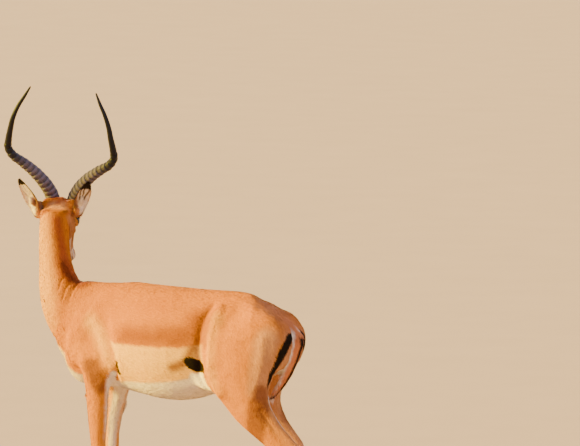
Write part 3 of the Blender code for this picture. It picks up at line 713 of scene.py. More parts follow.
def lid_angles(place, side):
    """Angle from the rim of the lids, offset from the middle of the eye and distance to it."""
    outward, to_corner, upward = EYE_AXES[side]
    offset = place - EYES[side]
    reach = np.linalg.norm(offset, axis=1)
    ray = offset / np.maximum(reach, 1e-6)[:, None]
    along = np.arctan2(ray @ to_corner, ray @ outward)
    above = np.arctan2(ray @ upward, np.hypot(ray @ outward, ray @ to_corner))
    arch = lid_arch(along)
    return np.maximum(above - UPPER_LID * arch, -above - LOWER_LID * arch), offset, reach


def on_lids(place, side):
    """Angle from the rim of the lids, and which points lie near enough to them for it to count."""
    gap, offset, reach = lid_angles(place, side)
    return gap, (reach < 0.026) & (offset @ EYE_AXES[side][0] > -0.002)


# %% Push the skin over and behind each ball
BEHIND_BALL = 0.0022
for side, middle in EYES.items():
    gap, offset, reach = lid_angles(place, side)
    close = (reach < 0.040) & (offset @ EYE_AXES[side][0] > -0.006)
    gap, offset, reach = gap[close], offset[close], reach[close]
    outside = ramp(-0.045, 0.030, gap)
    crease = 0.0011 * np.exp(-(((gap - 0.30) / 0.07) ** 2)) * (offset @ EYE_AXES[side][2] > 0)
    rim = EYE_RADIUS + LID_THICKNESS * (0.55 + 0.45 * ramp(0.0, 0.16, gap)) - crease
    over_ball = np.maximum(reach, rim)
    behind_ball = np.minimum(reach, EYE_RADIUS - BEHIND_BALL)
    wanted = behind_ball + (over_ball - behind_ball) * outside
    place[close] = middle + offset / reach[:, None] * wanted[:, None]
set_points(skin, place)
skin.data.polygons.foreach_set("use_smooth", [True] * len(skin.data.polygons))
clock("skin shaped")

# %% [markdown]
# ## The horns
# A horn is a sheath of horn matter over a bony core. It grows in bouts, so its lower two thirds
# carry raised rings, strongest in front, that fade before the smooth tip. Rings painted in a bump
# map vanish in the outline, so they are shaped: the radius of each station rises and falls with its
# place along the horn, with the rings a little uneven, tilted and worn.

# %% Loft the two horns
HORN_SIDES, HORN_STATIONS = 40, 420
HORN_RINGS, HORN_RINGED_SHARE, RING_HEIGHT = 19, 0.66, 0.0030


def horn_mesh(name, side_sign):
    """One sheath with its rings; each point keeps its place along the horn and on its ring."""
    spots = np.linspace(-HORN_ROOT, HORN_LENGTH, HORN_STATIONS)
    centres, radii, across, front = horn_line(side_sign, spots)
    angle = np.linspace(0.0, 2.0 * math.pi, HORN_SIDES, endpoint=False)
    # rings tilt forwards and wander a little round the horn
    facing = -np.sin(angle)
    pitch = HORN_LENGTH * HORN_RINGED_SHARE / HORN_RINGS
    wander = 0.0016 * np.sin(2.0 * angle + 1.3 * side_sign) + 0.0032 * facing
    phase = (spots[:, None] + wander) / pitch
    uneven = 0.82 + 0.18 * np.sin(2.4 * np.floor(phase) + 0.7)
    saw = phase - np.floor(phase)
    ridge = ramp(0.0, 0.62, saw) * ramp(1.0, 0.74, saw) - 0.30 * np.exp(-(((saw - 0.96) / 0.07) ** 2))
    fade = ramp(HORN_RINGED_SHARE + 0.03, HORN_RINGED_SHARE - 0.16, spots / HORN_LENGTH)[:, None]
    fade = fade * ramp(-0.010, 0.020, spots)[:, None]
    height = RING_HEIGHT * (0.62 + 0.38 * facing) * uneven * fade
    fine = 0.00022 * np.sin(9.0 * angle + 0.6 * np.sin(spots[:, None] * 60.0))
    round_radius = radii[:, None] * (1.0 - 0.05 * np.cos(angle) ** 2)
    tip = ramp(0.0, 0.004, HORN_LENGTH - spots)[:, None] * 0.85 + 0.15
    thin_share = np.minimum(1.0, radii / 0.01)[:, None]
    girth = (round_radius + ridge * height + fine * thin_share) * tip
    mesh = tube(name, ring_of(centres, across, front, girth))
    note(mesh, "horn_along", np.repeat(spots / HORN_LENGTH, HORN_SIDES))
    note(mesh, "horn_ridge", (ridge * fade).ravel())
    note(mesh, "horn_grain", np.stack(np.broadcast_arrays(
        np.cos(angle)[None] * 0.02, np.sin(angle)[None] * 0.02, spots[:, None] * 0.10), axis=-1))
    return add_object(name, mesh)


horns = {side: horn_mesh("horn_sheath_" + side, sign) for side, sign in SIDES.items()}
print("each horn has", len(horns["left"].data.polygons), "faces")

# %% [markdown]
# ## The hooves
# Each foot stands on two claws, flat below, upright at the heel and sloping in front, with faint
# rings where the horn grew down from the coronet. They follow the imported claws, so each one is read
# from its solid's box and lofted again with many more stations.

# %% Loft the eight claws
CLAW_SIDES, CLAW_STATIONS = 36, 26


def claw_mesh(name, node, inner_sign):
    """One claw, lofted from the ground to the coronet inside the box of its solid."""
    low, high = (np.array(corner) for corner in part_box(node))
    share = np.linspace(0.0, 1.0, CLAW_STATIONS)
    reach = np.interp(share, (0.0, 0.12, 0.55, 0.92, 1.0), (1.00, 1.02, 0.84, 0.62, 0.54))
    wide = np.interp(share, (0.0, 0.12, 0.55, 0.92, 1.0), (1.00, 1.02, 0.90, 0.72, 0.60))
    length = (high[0] - low[0]) / (0.55 * 1.02 + 0.45 * 0.95)
    middle_x = low[0] + 0.45 * length
    middle_y = (low[1] + high[1]) / 2.0
    width = (high[1] - low[1]) / 1.03 / 0.90
    rim = np.minimum(1.0, 0.965 + share / 0.05 * 0.035)
    rings = 0.0035 * np.sin(share * 46.0) * ramp(0.06, 0.25, share)
    angle = np.linspace(0.0, 2.0 * math.pi, CLAW_SIDES, endpoint=False)
    c, s = np.cos(angle), np.sin(angle)
    loops = []
    for i, part in enumerate(share):
        heel = -0.45 * length * (0.94 + 0.06 * part)
        toe = 0.55 * length * reach[i]
        half = (toe - heel) / 2.0 * (rim[i] + rings[i])
        flat = np.where(s * inner_sign > 0, 0.80, 1.0)
        toe_taper = 1.0 - 0.28 * np.maximum(0.0, c) ** 2
        spread = 0.5 * width * wide[i] * (rim[i] + rings[i]) * toe_taper * flat
        lean = inner_sign * (0.0020 + 0.14 * width * part)  # claws lean to each other
        x = middle_x + (toe + heel) / 2.0 + np.sign(c) * np.abs(c) ** 0.85 * half
        y = middle_y + lean + np.sign(s) * np.abs(s) ** 0.75 * spread
        loops.append(np.stack((x, y, np.full(CLAW_SIDES, low[2] + part * (high[2] - low[2]))), axis=1))
    mesh = tube(name, loops, shift=np.zeros(3))
    note(mesh, "claw_height", np.repeat(share, CLAW_SIDES))
    return add_object(name, mesh)


claws = {}
for foot in ("fore_hoof_left", "fore_hoof_right", "hind_hoof_left", "hind_hoof_right"):
    for part in ("in", "out"):
        node = f"{foot}_{part}"
        side_sign = 1.0 if "left" in foot else -1.0
        inner_sign = (1.0 if part == "in" else -1.0) * side_sign
        claws[node] = claw_mesh(node.replace("hoof", "claw"), node, inner_sign)
print("claws", len(claws))

# %% [markdown]
# ## The eyes
# The ball is almost all dark iris, with a level oval pupil, and a clear cornea bulges in front. One
# ball with a raised cornea and a wet finish reads well at life size. Each point remembers where it
# lies as seen along the gaze, and the finish paints iris and pupil from that.

# %% Two eyeballs with a bulging cornea
BALL_RADIUS, CORNEA_BULGE = EYE_RADIUS - 0.0004, 0.0016


def eye_mesh(name, side):
    """A ball whose points keep their place as seen along the gaze."""
    bm = bmesh.new()
    bmesh.ops.create_uvsphere(bm, u_segments=64, v_segments=40, radius=1.0)
    outward, to_corner, upward = EYE_AXES[side]
    gaze = []
    for vert in bm.verts:
        ray = np.array(vert.co)
        bulge = CORNEA_BULGE * float(ramp(0.72, 0.90, np.array(ray[2])))
        gaze.append(ray)
        turned = to_corner * ray[0] + upward * ray[1] + outward * ray[2]
        vert.co = EYES[side] + BODY_SHIFT + turned * (BALL_RADIUS + bulge)
    mesh = bpy.data.meshes.new(name)
    bmesh.ops.recalc_face_normals(bm, faces=bm.faces)
    bm.to_mesh(mesh)
    bm.free()
    note(mesh, "gaze", gaze)
    mesh.polygons.foreach_set("use_smooth", [True] * len(mesh.polygons))
    return add_object(name, mesh)


eyes = {side: eye_mesh(f"eyeball_{side}", side) for side in EYES}
print("each eyeball has", len(eyes["left"].data.vertices), "points")

# %% [markdown]
# ## Markings
# The coat is tawny, with a redder saddle that ends in a clean line along the flank, a pale band
# below it and a white belly. Black marks sit on the thighs, in the fold before each thigh, down the
# tail, on the ear tips, on the nose and on the tufts above the hind fetlocks. Each marking is a
# distance in metres to its border, above zero inside it. The finish turns distances into masks and
# frays them with noise, so skin and hair share one set of borders and stay in step.

# %% Lines that the markings of the trunk follow
MARK_NAMES = (
    "flank", "fawn", "painted_skylight", "saddle", "white", "black", "rust", "ruff", "shade", "pale", "streak", "smoke_and_shade",
)
THIGH_MARK = mm(
    (-499, 34, 757), (-494, 68, 717), (-484, 85, 688), (-469, 93, 647), (-453, 95, 619), (-441, 92, 585),
    (-435, 89, 552),
)
BEHIND_THIGH_MARK = mm((-505, 45, 730), (-500, 55, 690), (-480, 60, 640), (-455, 62, 590), (-430, 60, 540))
BUTTOCK = mm((-440, 115, 735), (-430, 122, 690), (-424, 118, 630), (-415, 110, 570))
CROUP = mm((-420, 0, 862), (-460, 0, 840), (-505, 0, 800))
UNDER_TAIL = mm((-500, 0, 735), (-480, 0, 660), (-440, 0, 590), (-420, 0, 550))
GASKIN_SHADE = mm((-425, 122, 548), (-410, 122, 488), (-400, 117, 431), (-385, 112, 385))
HAUNCH_RIM_HIGHLIGHT = mm((-240, 100, 796), (-232, 112, 745), (-229, 116, 690), (-226, 113, 625), (-248, 108, 560))
LOW_FLANK_SHADE = mm((-80, 130, 622), (-125, 125, 640), (-150, 120, 690))
LOW_SADDLE_SHADE = mm((100, 132, 712), (0, 142, 715), (-90, 135, 722), (-158, 118, 735), (-168, 108, 780))
SHOULDER_HIGHLIGHT = mm((262, 100, 765), (230, 106, 730), (205, 110, 685), (178, 110, 620))
ELBOW_SHADE = mm((250, 120, 612), (236, 122, 588), (222, 122, 562), (208, 117, 540))
ARMPIT_SHADOW = mm((152, 0, 622), (148, 0, 606), (145, 0, 590))
ARMPIT_WHITE = mm((170, 103, 580), (182, 90, 550), (190, 75, 515))
CHEST = mm((405, 0, 655), (350, 0, 560), (300, 0, 540), (200, 0, 520))
BELLY_TOP = mm(  # place ahead, height where the white of the belly begins
    (-240, 590), (-186, 606), (-139, 604), (-124, 583), (-51, 569), (30, 562), (121, 560), (170, 556),
    (240, 545), (320, 560),
)
ELBOW_EDGE = mm(  # height, place ahead where the pale flank ends behind the elbow
    (540, 150), (600, 150), (660, 158), (720, 185),
)

# %% Lines that the markings of the neck and the head follow
NAPE_LINE = mm(
    (440, 10, 1100), (417, 18, 1025), (400, 24, 955), (389, 20, 925), (366, 12, 900), (335, 0, 893),
)
NAPE_RUFF = mm((401, 34, 953), (388, 31, 928), (373, 27, 906), (352, 18, 891))
THROAT_PATCH = (
    on_head(0.045, 0.0, -0.052), on_head(0.078, 0.0, -0.08), (0.499, -0.09, 1.04), (0.505, -0.072, 0.99),
)
NECK_HIGHLIGHT, TO_NECK_HIGHLIGHT = (0.47, 0.04, 0.95), np.array((0.7, 0.7, 0.0))
# in the head's frame, on its left side
BROW = mm((104, 46, 26), (84, 50, 40), (64, 50, 37))
CHEEK = mm((10, 52, -20), (60, 55, -26), (125, 44, -24), (190, 30, -14))
SKULL = mm((-10, 0, 10), (20, 0, 40), (45, 0, 55))
NOSE_PAD = mm(  # height, half width of the bare skin between the nostrils
    (-12, 1.6), (-6, 3), (0, 10.5), (6, 12.5), (12, 7),
)
NOSTRIL, MOUTH = (mm(*HEAD_FORMS[name][0]) for name in ("nostril", "mouth"))
# distance along an ear, half its width and the depth of its cup
EAR_SECTIONS = mm(
    (0, 21.5, 18), (20, 26.2, 18), (42, 28, 16), (68, 26, 12), (92, 20.5, 9), (111, 13.8, 6),
    (125, 5.5, 3),
)
OUTSIDE = -0.05  # a distance that is safely outside any border


# %% Borders joined and cut
def all_of(*borders):
    """Above zero inside every one of several borders."""
    return functools.reduce(np.minimum, borders)


def any_of(*borders):
    """Above zero inside at least one of several borders."""
    return functools.reduce(np.maximum, borders)


def only_on(chosen, border):
    """The border on the chosen points, and outside it everywhere else."""
    return np.where(chosen, border, OUTSIDE)


# %% Saddle and pale flank
def flank_marks(place, share, marks):
    """The saddle's clean lower line and the pale band under it, from the elbow to the thigh."""
    x, _, z = place.T
    before_thigh = -behind_thigh_edge(place)
    top = 0.690 + 0.16 * np.maximum(0.0, -0.10 - x) + 0.10 * np.maximum(0.0, x - 0.12)
    flank = all_of(top - z, before_thigh + 0.003, np.interp(z, *ELBOW_EDGE.T) - x)
    marks["flank"] = only_on(share["leg"] <= 0.5, flank)
    # a darker band along the saddle's lower line, partly darker hair and partly painted shade
    marks["saddle"] = all_of(near(both_sides(place), LOW_SADDLE_SHADE, 0.046), z - top, before_thigh + 0.02)


# %% White of the belly and the legs
def white_of_fore_leg(place):
    """The side that faces the other leg, and the rear of the cannon."""
    x, y, z = place.T
    ahead, middle, back = leg_at("fore", place)
    cover = middle - np.abs(y)
    inner = cover - np.where(y < 0.0, 0.006, 0.013) - np.where(y < 0.0, 0.004, 0.030) * ramp(0.56, 0.42, z)
    inner = np.where(y < 0.0, np.minimum(inner, ahead + 0.1 * back - x), inner)
    rear = np.minimum(ahead - 0.86 * back - x, cover + 0.030) - 0.010 * ramp(0.36, 0.30, z)
    return any_of(inner, all_of(rear, 0.585 - z))


def white_of_hind_leg(place):
    """The inner rear edge below the thigh, and the groin."""
    x, y, z = place.T
    aside = np.abs(y)
    ahead, middle, back = leg_at("hind", place)
    # the right leg's white is narrower: painted shade on its inner side, which lies in shadow
    rear = all_of(middle - aside - 0.004, ahead - np.where(y < 0.0, 1.05, 0.80) * back - x)
    rear = all_of(rear, 0.540 - z, aside - 0.035) - 0.004 * ramp(0.40, 0.30, z)
    return any_of(rear, all_of(0.045 - aside, x + 0.36, z - 0.50))


def white_marks(place, share, marks):
    """White belly, inner legs, armpit, chest and the strip below the tail."""
    x, y, z = place.T
    aside, before_thigh = np.abs(y), -behind_thigh_edge(place)
    elbow_edge = np.interp(z, *ELBOW_EDGE.T)
    belly = all_of(
        np.interp(x, *BELLY_TOP.T) - z,
        any_of(before_thigh, 0.045 - aside),
        any_of(elbow_edge + 0.030 - x, 0.060 - aside),
    )
    armpit = near(both_sides(place), ARMPIT_WHITE, 0.0145)
    white = any_of(belly, armpit)
    white = np.where(share["fore"] > 0.5, any_of(white_of_fore_leg(place), armpit), white)
    white = np.where(share["hind"] > 0.5, white_of_hind_leg(place), white)
    chest = near(place, CHEST, 0.036 + 0.022 * ramp(0.62, 0.54, z))
    marks["white"] = any_of(white, chest, near(place, UNDER_TAIL, 0.024))


# %% Black of the thigh, the flank fold and the fetlock tufts, and a painted shadow in the armpit
def black_marks(place, marks):
    """Each black mark of the trunk and the legs, and a black painted shadow in the armpit."""
    x, y, z = place.T
    aside = np.abs(y)
    gap, along = to_line(both_sides(place), THIGH_MARK)
    width = np.interp(along, (0.0, 0.10, 0.30, 0.62, 0.84, 1.0), (0.70, 0.92, 1.0, 0.72, 0.42, 0.15))
    dx, dz = x + 0.158, z - 0.634
    across, down = 0.88 * dx + 0.47 * dz, -0.47 * dx + 0.88 * dz
    patch = 0.020 * (1.0 - np.sqrt((across / 0.042) ** 2 + (down / 0.0215) ** 2))
    patch = only_on(aside > 0.07, all_of(patch, 0.012 - behind_thigh_edge(place)))
    ahead, middle, back = leg_at("hind", place)
    tuft_round = np.hypot((z - 0.168) / 0.040, (aside - middle) / 0.026)
    tuft = only_on(x < -0.3, all_of(ahead - 0.35 * back - x, 0.036 * (1.0 - tuft_round)))
    # painted shadow: a black streak in the crease of the armpit
    streak = only_on(aside > 0.085, near(place * (1.0, 0.0, 1.0), ARMPIT_SHADOW, 0.0068))
    marks["black"] = any_of(0.0195 * width - gap, patch, tuft, streak)


# %% Brown, fawn and pale hair of the trunk, with painted shade, skylight and highlights
def brown_marks(place, marks):
    """Croup lighter and bluer as painted skylight, dark nape and ruff, and painted shade at elbow, low flank
    and gaskin.
    """
    folded = both_sides(place)
    # painted skylight: the croup lighter and bluer, standing in for the cool light in its shade
    marks["painted_skylight"] = near(place, CROUP, 0.066)
    gap, along = to_line(place, NAPE_LINE)
    marks["rust"] = 0.017 + 0.013 * ramp(0.25, 0.75, along) - gap
    marks["ruff"] = near(place, NAPE_RUFF, 0.013)
    # painted shade: darker coat on the elbow, in the hollow of the low flank and on the gaskin, partly darker
    # hair at the gaskin
    gap, along = to_line(folded, ELBOW_SHADE)
    low_flank_shade = near(folded, LOW_FLANK_SHADE, 0.020) - 0.004
    marks["shade"] = any_of(0.030 - 0.006 * along - gap, low_flank_shade, near(folded, GASKIN_SHADE, 0.038))


def pale_marks(place, share, marks):
    """Fawn rear of the thigh, pale inner fore leg, and painted highlights on shoulder, haunch rim and lit
    neck front.
    """
    x, y, z = place.T
    folded, aside = both_sides(place), np.abs(y)
    _, fore_middle, _ = leg_at("fore", place)
    ahead, hind_middle, back = leg_at("hind", place)
    hind_rear = all_of(ahead - 0.35 * back - x, hind_middle - aside + 0.012)
    hind_rear = only_on(share["hind"] > 0.3, hind_rear)
    marks["fawn"] = any_of(
        near(folded, BUTTOCK, 0.038) + 0.006,
        near(folded, BEHIND_THIGH_MARK, 0.036) + 0.004,
        all_of(hind_rear, z - 0.30),
    )
    # painted highlights along the lit crests of shoulder and haunch; the inner fore leg is really paler
    pale = any_of(
        near(folded, SHOULDER_HIGHLIGHT, 0.021),
        only_on(share["fore"] > 0.5, fore_middle - aside - 0.006),
        near(folded, HAUNCH_RIM_HIGHLIGHT, 0.012),
    )
    # painted highlight on the front of the neck, on its left side, which the key lamp lights
    front = (place - NECK_HIGHLIGHT) @ TO_NECK_HIGHLIGHT + 0.016
    marks["pale"] = np.where(share["neck"] > 0.5, any_of(pale, front), pale)


# %% Markings of the head
def nose_pad(f, s, u):
    """Above zero on the bare skin between the nostrils and down to the lip."""
    return all_of(np.interp(u, *NOSE_PAD.T) - s, f - 0.2480, 0.0125 - u)


def white_of_head(f, s, u, local):
    """Throat, lips, chin and the mark over the eye."""
    throat_back = f - 0.030 + 0.8 * np.maximum(0.0, -0.062 - u)
    throat = all_of(-0.050 - u, 0.17 - f, throat_back, 0.030 + 0.30 * f - s)
    lips = all_of(f - 0.205 + 0.6 * np.maximum(u, 0.0), 0.008 - u)
    return any_of(throat, lips, all_of(f - 0.13, -0.016 - u), near(local, BROW, 0.0085))


def black_of_head(place, f, s, u, local):
    """Nose, nostrils, the line of the mouth and the rims of the lids."""
    black = any_of(nose_pad(f, s, u), near(local, NOSTRIL, 0.0046), near(local, MOUTH, 0.0024))
    for side in EYES:
        lid, here = on_lids(place, side)
        black = any_of(black, np.where(here, (0.26 - lid) * 0.017, -1.0))
    return black


def head_marks(place, share, marks):
    """All marks of the head, with the patch that runs from the throat down the neck."""
    local = both_sides(head_place(place))
    f, s, u = local.T
    on_face = share["head"] > 0.5
    eye_ring = any_of(*(0.027 - distance(place, middle) for middle in EYES.values()))
    crown = all_of(u - 0.020, 0.060 - f, 0.030 - s)
    blaze = 0.013 - np.hypot(s, np.minimum(0.0, u - 0.02)) - 0.12 * np.maximum(0.0, f - 0.17)
    for mark, border in (
        ("white", white_of_head(f, s, u, local)),
        ("black", black_of_head(place, f, s, u, local)),
        ("pale", eye_ring),
        ("fawn", any_of(near(local, CHEEK, 0.028), near(local, SKULL, 0.034))),
        ("rust", any_of(crown, blaze)),
        ("shade", OUTSIDE),
    ):
        marks[mark] = np.where(on_face, border, marks[mark])
    gap, along = to_line(place, THROAT_PATCH)
    patch = 0.035 - 0.010 * along + 0.011 * ramp(0.15, 0.35, along) * ramp(0.85, 0.55, along) - gap
    marks["white"] = np.where((share["neck"] > 0.3) | on_face, any_of(marks["white"], patch), marks["white"])
    # painted shade in front of and below the roots of the ears, where they meet the skull
    for sign, (root, _, _) in zip((1.0, -1.0), EARS.values()):
        spot = np.array(root) + 0.012 * TO_BROW - sign * 0.014 * TO_HEAD_LEFT
        marks["smoke_and_shade"] = any_of(marks["smoke_and_shade"], 0.0150 - distance(place, spot))
        marks["fawn"] = any_of(marks["fawn"], 0.030 - distance(place, np.array(root)))


# %% Markings of the tail
TAIL_STEPS = np.gradient(TAIL[:, :3], axis=0)


def tail_marks(place, share, marks):
    """A black line down the outside and white hair on the inside and at the tip."""
    gap, along = to_line(place, TAIL[:, :3])
    thick = np.interp(along, TAIL_PLACES, TAIL[:, 3])
    on_tail = (share["tail"] > 0.5) | ((gap < 1.06 * thick) & (along > 0.5))
    off = place - on_tail_line(along)
    way = unit(on_tail_line(along, TAIL_STEPS))
    outer = off[:, 0] * way[:, 2] - off[:, 2] * way[:, 0]
    black = all_of(0.0090 - np.abs(off[:, 1]), outer - 0.1 * thick)
    black = all_of(black, (along - 0.08) * 0.1, (0.95 - along) * 0.1)
    front = off[:, 0] * 0.88 + off[:, 2] * 0.28 + np.abs(off[:, 1]) * 0.45
    white = front - np.interp(along, (0.2, 0.5, 0.75, 1.0), (0.80, 0.48, 0.16, 0.0)) * thick
    white = any_of(all_of(white, (along - 0.20) * 0.1), (along - 0.95) * 0.1)
    # the whole tail takes the painted skylight of the croup
    borders = {"black": black, "white": white, "painted_skylight": 0.05, "pale": -0.02, "fawn": -0.02}
    for mark, border in borders.items():
        marks[mark] = np.where(on_tail, border, marks[mark])


# %% Markings of the ears
# what differs: where the black tip begins, width of the black edge, how much the streaks are
# thinned, which on the lit left ear is a painted highlight, and how far the painted shade on the side
# next to the skull spreads at the root
EAR_LOOKS = {"ear_left": (0.096, 0.006, 0.0028, 0.84), "ear_right": (0.082, 0.0034, 0.0002, 0.4)}


def inside_ear(along, across, out):
    """Height over the floor of the ear's cup, above zero on the hollow side, and half the width."""
    half, cup = (np.interp(along, EAR_SECTIONS[:, 0], EAR_SECTIONS[:, k]) for k in (1, 2))
    return out + np.sqrt(np.maximum(0.0, 1.0 - (across / half) ** 2)) * cup - 0.0036, half


def ear_streaks(along, inward, across, half, thinned):
    """Three dark lines along the hollow of an ear, each a little bent."""
    bent = 0.0030 * np.sin(along * 90.0 + 1.0)
    middle_line = np.abs(across - bent) + 0.10 * np.maximum(0.0, 0.060 - along)
    outer_line = np.abs(inward + 0.50 * half + bent) + 0.10 * np.maximum(0.0, along - 0.070)
    inner_line = np.abs(inward - 0.42 * half - bent) + 0.12 * np.maximum(0.0, 0.050 - along)
    return 0.0034 - (all_of(middle_line, outer_line, inner_line) + thinned)


def ear_marks(place, share, marks):
    """Black tip and edge, dark streaks and white hair in the hollow, a smoky back, and painted shade at the
    root.
    """
    for ear, (tip_start, edge_width, thinned, spread) in EAR_LOOKS.items():
        along, across, out = ear_place(place, ear)
        here = (share["ear"] > 0.35) & (np.hypot(across, out) < 0.045) & (along > -0.01)
        inside, half = inside_ear(along, across, out)
        inside = np.clip(inside * 4.0, -0.02, 0.02)
        inward = -across if ear == "ear_left" else across  # above zero on the side of the skull
        tip = along - tip_start + 0.15 * np.maximum(0.0, np.abs(across) - 0.008)
        edge = all_of(inward - half + edge_width, along - 0.045)
        streak = ear_streaks(along, inward, across, half, thinned)
        streak = all_of(streak, inside, along - 0.030, 0.106 - along)
        root_side = inward / half - 0.86 + spread * ramp(0.072, 0.008, along)
        base = np.stack((0.7 * (along - 0.004), inward + 0.012, out), axis=1)
        base = 0.017 - np.linalg.norm(base, axis=1)
        white = any_of(all_of(inside, -0.02 * root_side), base)
        marks["white"] = np.where(here | (base > 0.0), white, marks["white"])
        # grey-brown back of the ear, and painted shade on the root's side next to the skull
        smoke_and_shade = any_of(-inside - 0.004, 0.02 * root_side)
        borders = {"black": any_of(tip, edge), "streak": streak, "smoke_and_shade": smoke_and_shade}
        for mark in MARK_NAMES:
            if mark != "white":
                marks[mark] = np.where(here, borders.get(mark, -0.03), marks[mark])


# %% All markings of some points
def markings(place, share):
    """The distance of each point to the border of each marking, above zero inside it."""
    marks = {mark: np.full(len(place), OUTSIDE) for mark in MARK_NAMES}
    flank_marks(place, share, marks)
    white_marks(place, share, marks)
    black_marks(place, marks)
    brown_marks(place, marks)
    pale_marks(place, share, marks)
    head_marks(place, share, marks)
    tail_marks(place, share, marks)
    ear_marks(place, share, marks)
    return marks


# %% [markdown]
# ## The lie of the coat
# Hair grows from the nose backwards, down the neck, back along the trunk and down the legs, and to
# the tips of the ears and tail. Each part has its own flow; the shares blend them, and the result
# is laid into the surface, so that no tuft points into the air.

# %% Directions of growth
DOWN_BACK_OF_SKULL = np.array((-0.10, 0.0, -1.0))


def way_on_ear(place, ear):
    """Growth to the tip of an ear, spreading to its edges, and where it holds."""
    direction, opening = (unit(np.array(v)) for v in EARS[ear][1:])
    _, across, out = ear_place(place, ear)
    way = direction + 0.35 * (across / 0.03)[:, None] * np.cross(opening, direction)
    return way, np.hypot(across, out) < 0.050


def way_on_head(place):
    """Growth from the nose backwards, which turns down over the back of the skull."""
    forward, left, up = head_place(place).T
    cheek = ramp(0.0, -0.05, up)[:, None]
    over = ramp(-0.005, 0.055, forward)[:, None]
    way = -TO_NOSE - 0.45 * cheek * TO_BROW + 0.25 * np.sign(left)[:, None] * TO_HEAD_LEFT
    return unit(way) * over + DOWN_BACK_OF_SKULL * (1.0 - over)


def lie_of_coat(place, normals, share):
    """The way the hair lies at each point, level with the skin."""
    x, y, z = place.T
    ones, zeros = np.ones(len(place)), np.zeros(len(place))
    haunch = ramp(-0.20, -0.34, x) * ramp(0.86, 0.72, z)
    shoulder = ramp(0.18, 0.30, x)
    low = ramp(0.84, 0.62, z) * ramp(0.52, 0.60, z)
    trunk = np.stack((-ones, 0.25 * y * low, -0.10 - 0.35 * low - 1.3 * haunch - 1.2 * shoulder), axis=1)
    neck, leg = (np.stack((-lean * ones, zeros, -ones), axis=1) for lean in (0.25, 0.10))
    tail = on_tail_line(to_line(place, TAIL[:, :3])[1], TAIL_STEPS)
    ways = {"neck": neck, "fore": leg, "hind": leg, "head": way_on_head(place), "tail": tail}
    flow = unit(trunk)
    for name, way in ways.items():
        flow = flow * (1.0 - share[name])[:, None] + unit(way) * share[name][:, None]
    for ear in EARS:
        way, here = way_on_ear(place, ear)
        mixed = flow * (1.0 - share["ear"])[:, None] + way * share["ear"][:, None]
        flow = np.where((here & (share["ear"] > 0.02))[:, None], mixed, flow)
    flow -= normals * np.sum(flow * normals, axis=1, keepdims=True)
    return unit(flow)


# %% [markdown]
# ## Where tufts grow
# Roots are dealt out over the skin's triangles in step with their area and with how close the coat
# is there, one after another along a running total, which spreads them more evenly than pure
# chance. Every draw comes from one seeded source, so the coat is the same each time.

# %% The skin's triangles
place, normals = skin_points(skin)
corners = np.empty(len(skin.data.polygons) * 3, dtype=np.int64)
skin.data.polygons.foreach_get("vertices", corners)
corners = corners.reshape(-1, 3)
corner_a, corner_b, corner_c = (place[corners[:, k]] for k in range(3))
areas = 0.5 * np.linalg.norm(np.cross(corner_b - corner_a, corner_c - corner_a), axis=1)
middles = (corner_a + corner_b + corner_c) / 3.0
middle_share = parts_of(middles)
print(f"the skin covers {areas.sum():.2f} square metres")


# %% How close the coat is
BARE_BELOW, HORN_CLEARANCE, NOSTRIL_CLEARANCE = 0.0415, 0.0185, 0.0036


def is_bare(place):
    """Where no hair grows: between the lids, on the nose, round the horns and over the hooves."""
    bare = place[:, 2] < BARE_BELOW
    for side in EYES:
        lid, here = on_lids(place, side)
        bare |= here & (lid < 0.12)
    local = head_place(place)
    bare |= nose_pad(local[:, 0], np.abs(local[:, 1]), local[:, 2]) > 0.0
    bare |= to_line(both_sides(local), NOSTRIL)[0] < NOSTRIL_CLEARANCE
    for sign in (1.0, -1.0):
        centres, _, _, _ = horn_line(sign, np.linspace(0.0, 0.10, 12))
        bare |= to_line(place, centres)[0] < HORN_CLEARANCE
    return bare


def closeness(place, share):
    """Tufts to a square metre."""
    muzzle = ramp(0.10, 0.20, head_place(place)[:, 0]) * share["head"]
    close = 160000.0 + 30000.0 * share["neck"] + 68000.0 * share["leg"] + 330000.0 * share["head"]
    close = close + 500000.0 * muzzle + 420000.0 * share["ear"] + 90000.0 * share["tail"]
    close = close + 50000.0 * share["leg"] * ramp(0.24, 0.12, place[:, 2])
    return np.where(is_bare(place), 0.0, close)


# %% Deal the roots over the skin
rng = np.random.default_rng(41)
COAT_SHARE = 1.0

weights = areas * closeness(middles, middle_share)
total = int(weights.sum() * COAT_SHARE)
running = np.cumsum(weights)
picks = (np.arange(total) + rng.random(total)) / total * running[-1]
triangle = np.minimum(np.searchsorted(running, picks), len(areas) - 1)
r1, r2 = np.sqrt(rng.random(total)), rng.random(total)
mix = np.stack((1.0 - r1, r1 * (1.0 - r2), r1 * r2), axis=1)
roots = sum(mix[:, k:k + 1] * place[corners[triangle, k]] for k in range(3))
root_normals = unit(sum(mix[:, k:k + 1] * normals[corners[triangle, k]] for k in range(3)))
root_share = parts_of(roots)
print("tufts to grow:", total)
clock("roots dealt")

# %% [markdown]
# ## One tuft
# A tuft is a thin pointed blade of three triangles: two corners at the root, two at the middle and
# a tip. Its root is sunk in the skin, its middle rises a little and its tip comes down again, so it
# lies along the body like a slate on a roof. Short on the face and shins, longer on the belly, on
# the bent nape and at the end of the tail. Blades lean a little to either side, which gives
# the coat its grain in raking light.

# %% Sizes of every tuft
FOOT_BELOW, FOOT_LENGTH = 0.052, 0.0052  # hair over the edge of a hoof stays short


def hollow_of_ear(place):
    """One on the hollow side of an ear, where the hair is long."""
    hollow = np.zeros(len(place))
    for ear in EARS:
        along, across, out = ear_place(place, ear)
        here = (np.hypot(across, out) < 0.045) & (along > 0.0)
        hollow[here & (inside_ear(along, across, out)[0] > 0.0)] = 1.0
    return hollow


def towards(value, share, wanted):
    """A value moved to a wanted one by a share."""
    return value * (1.0 - share) + share * wanted


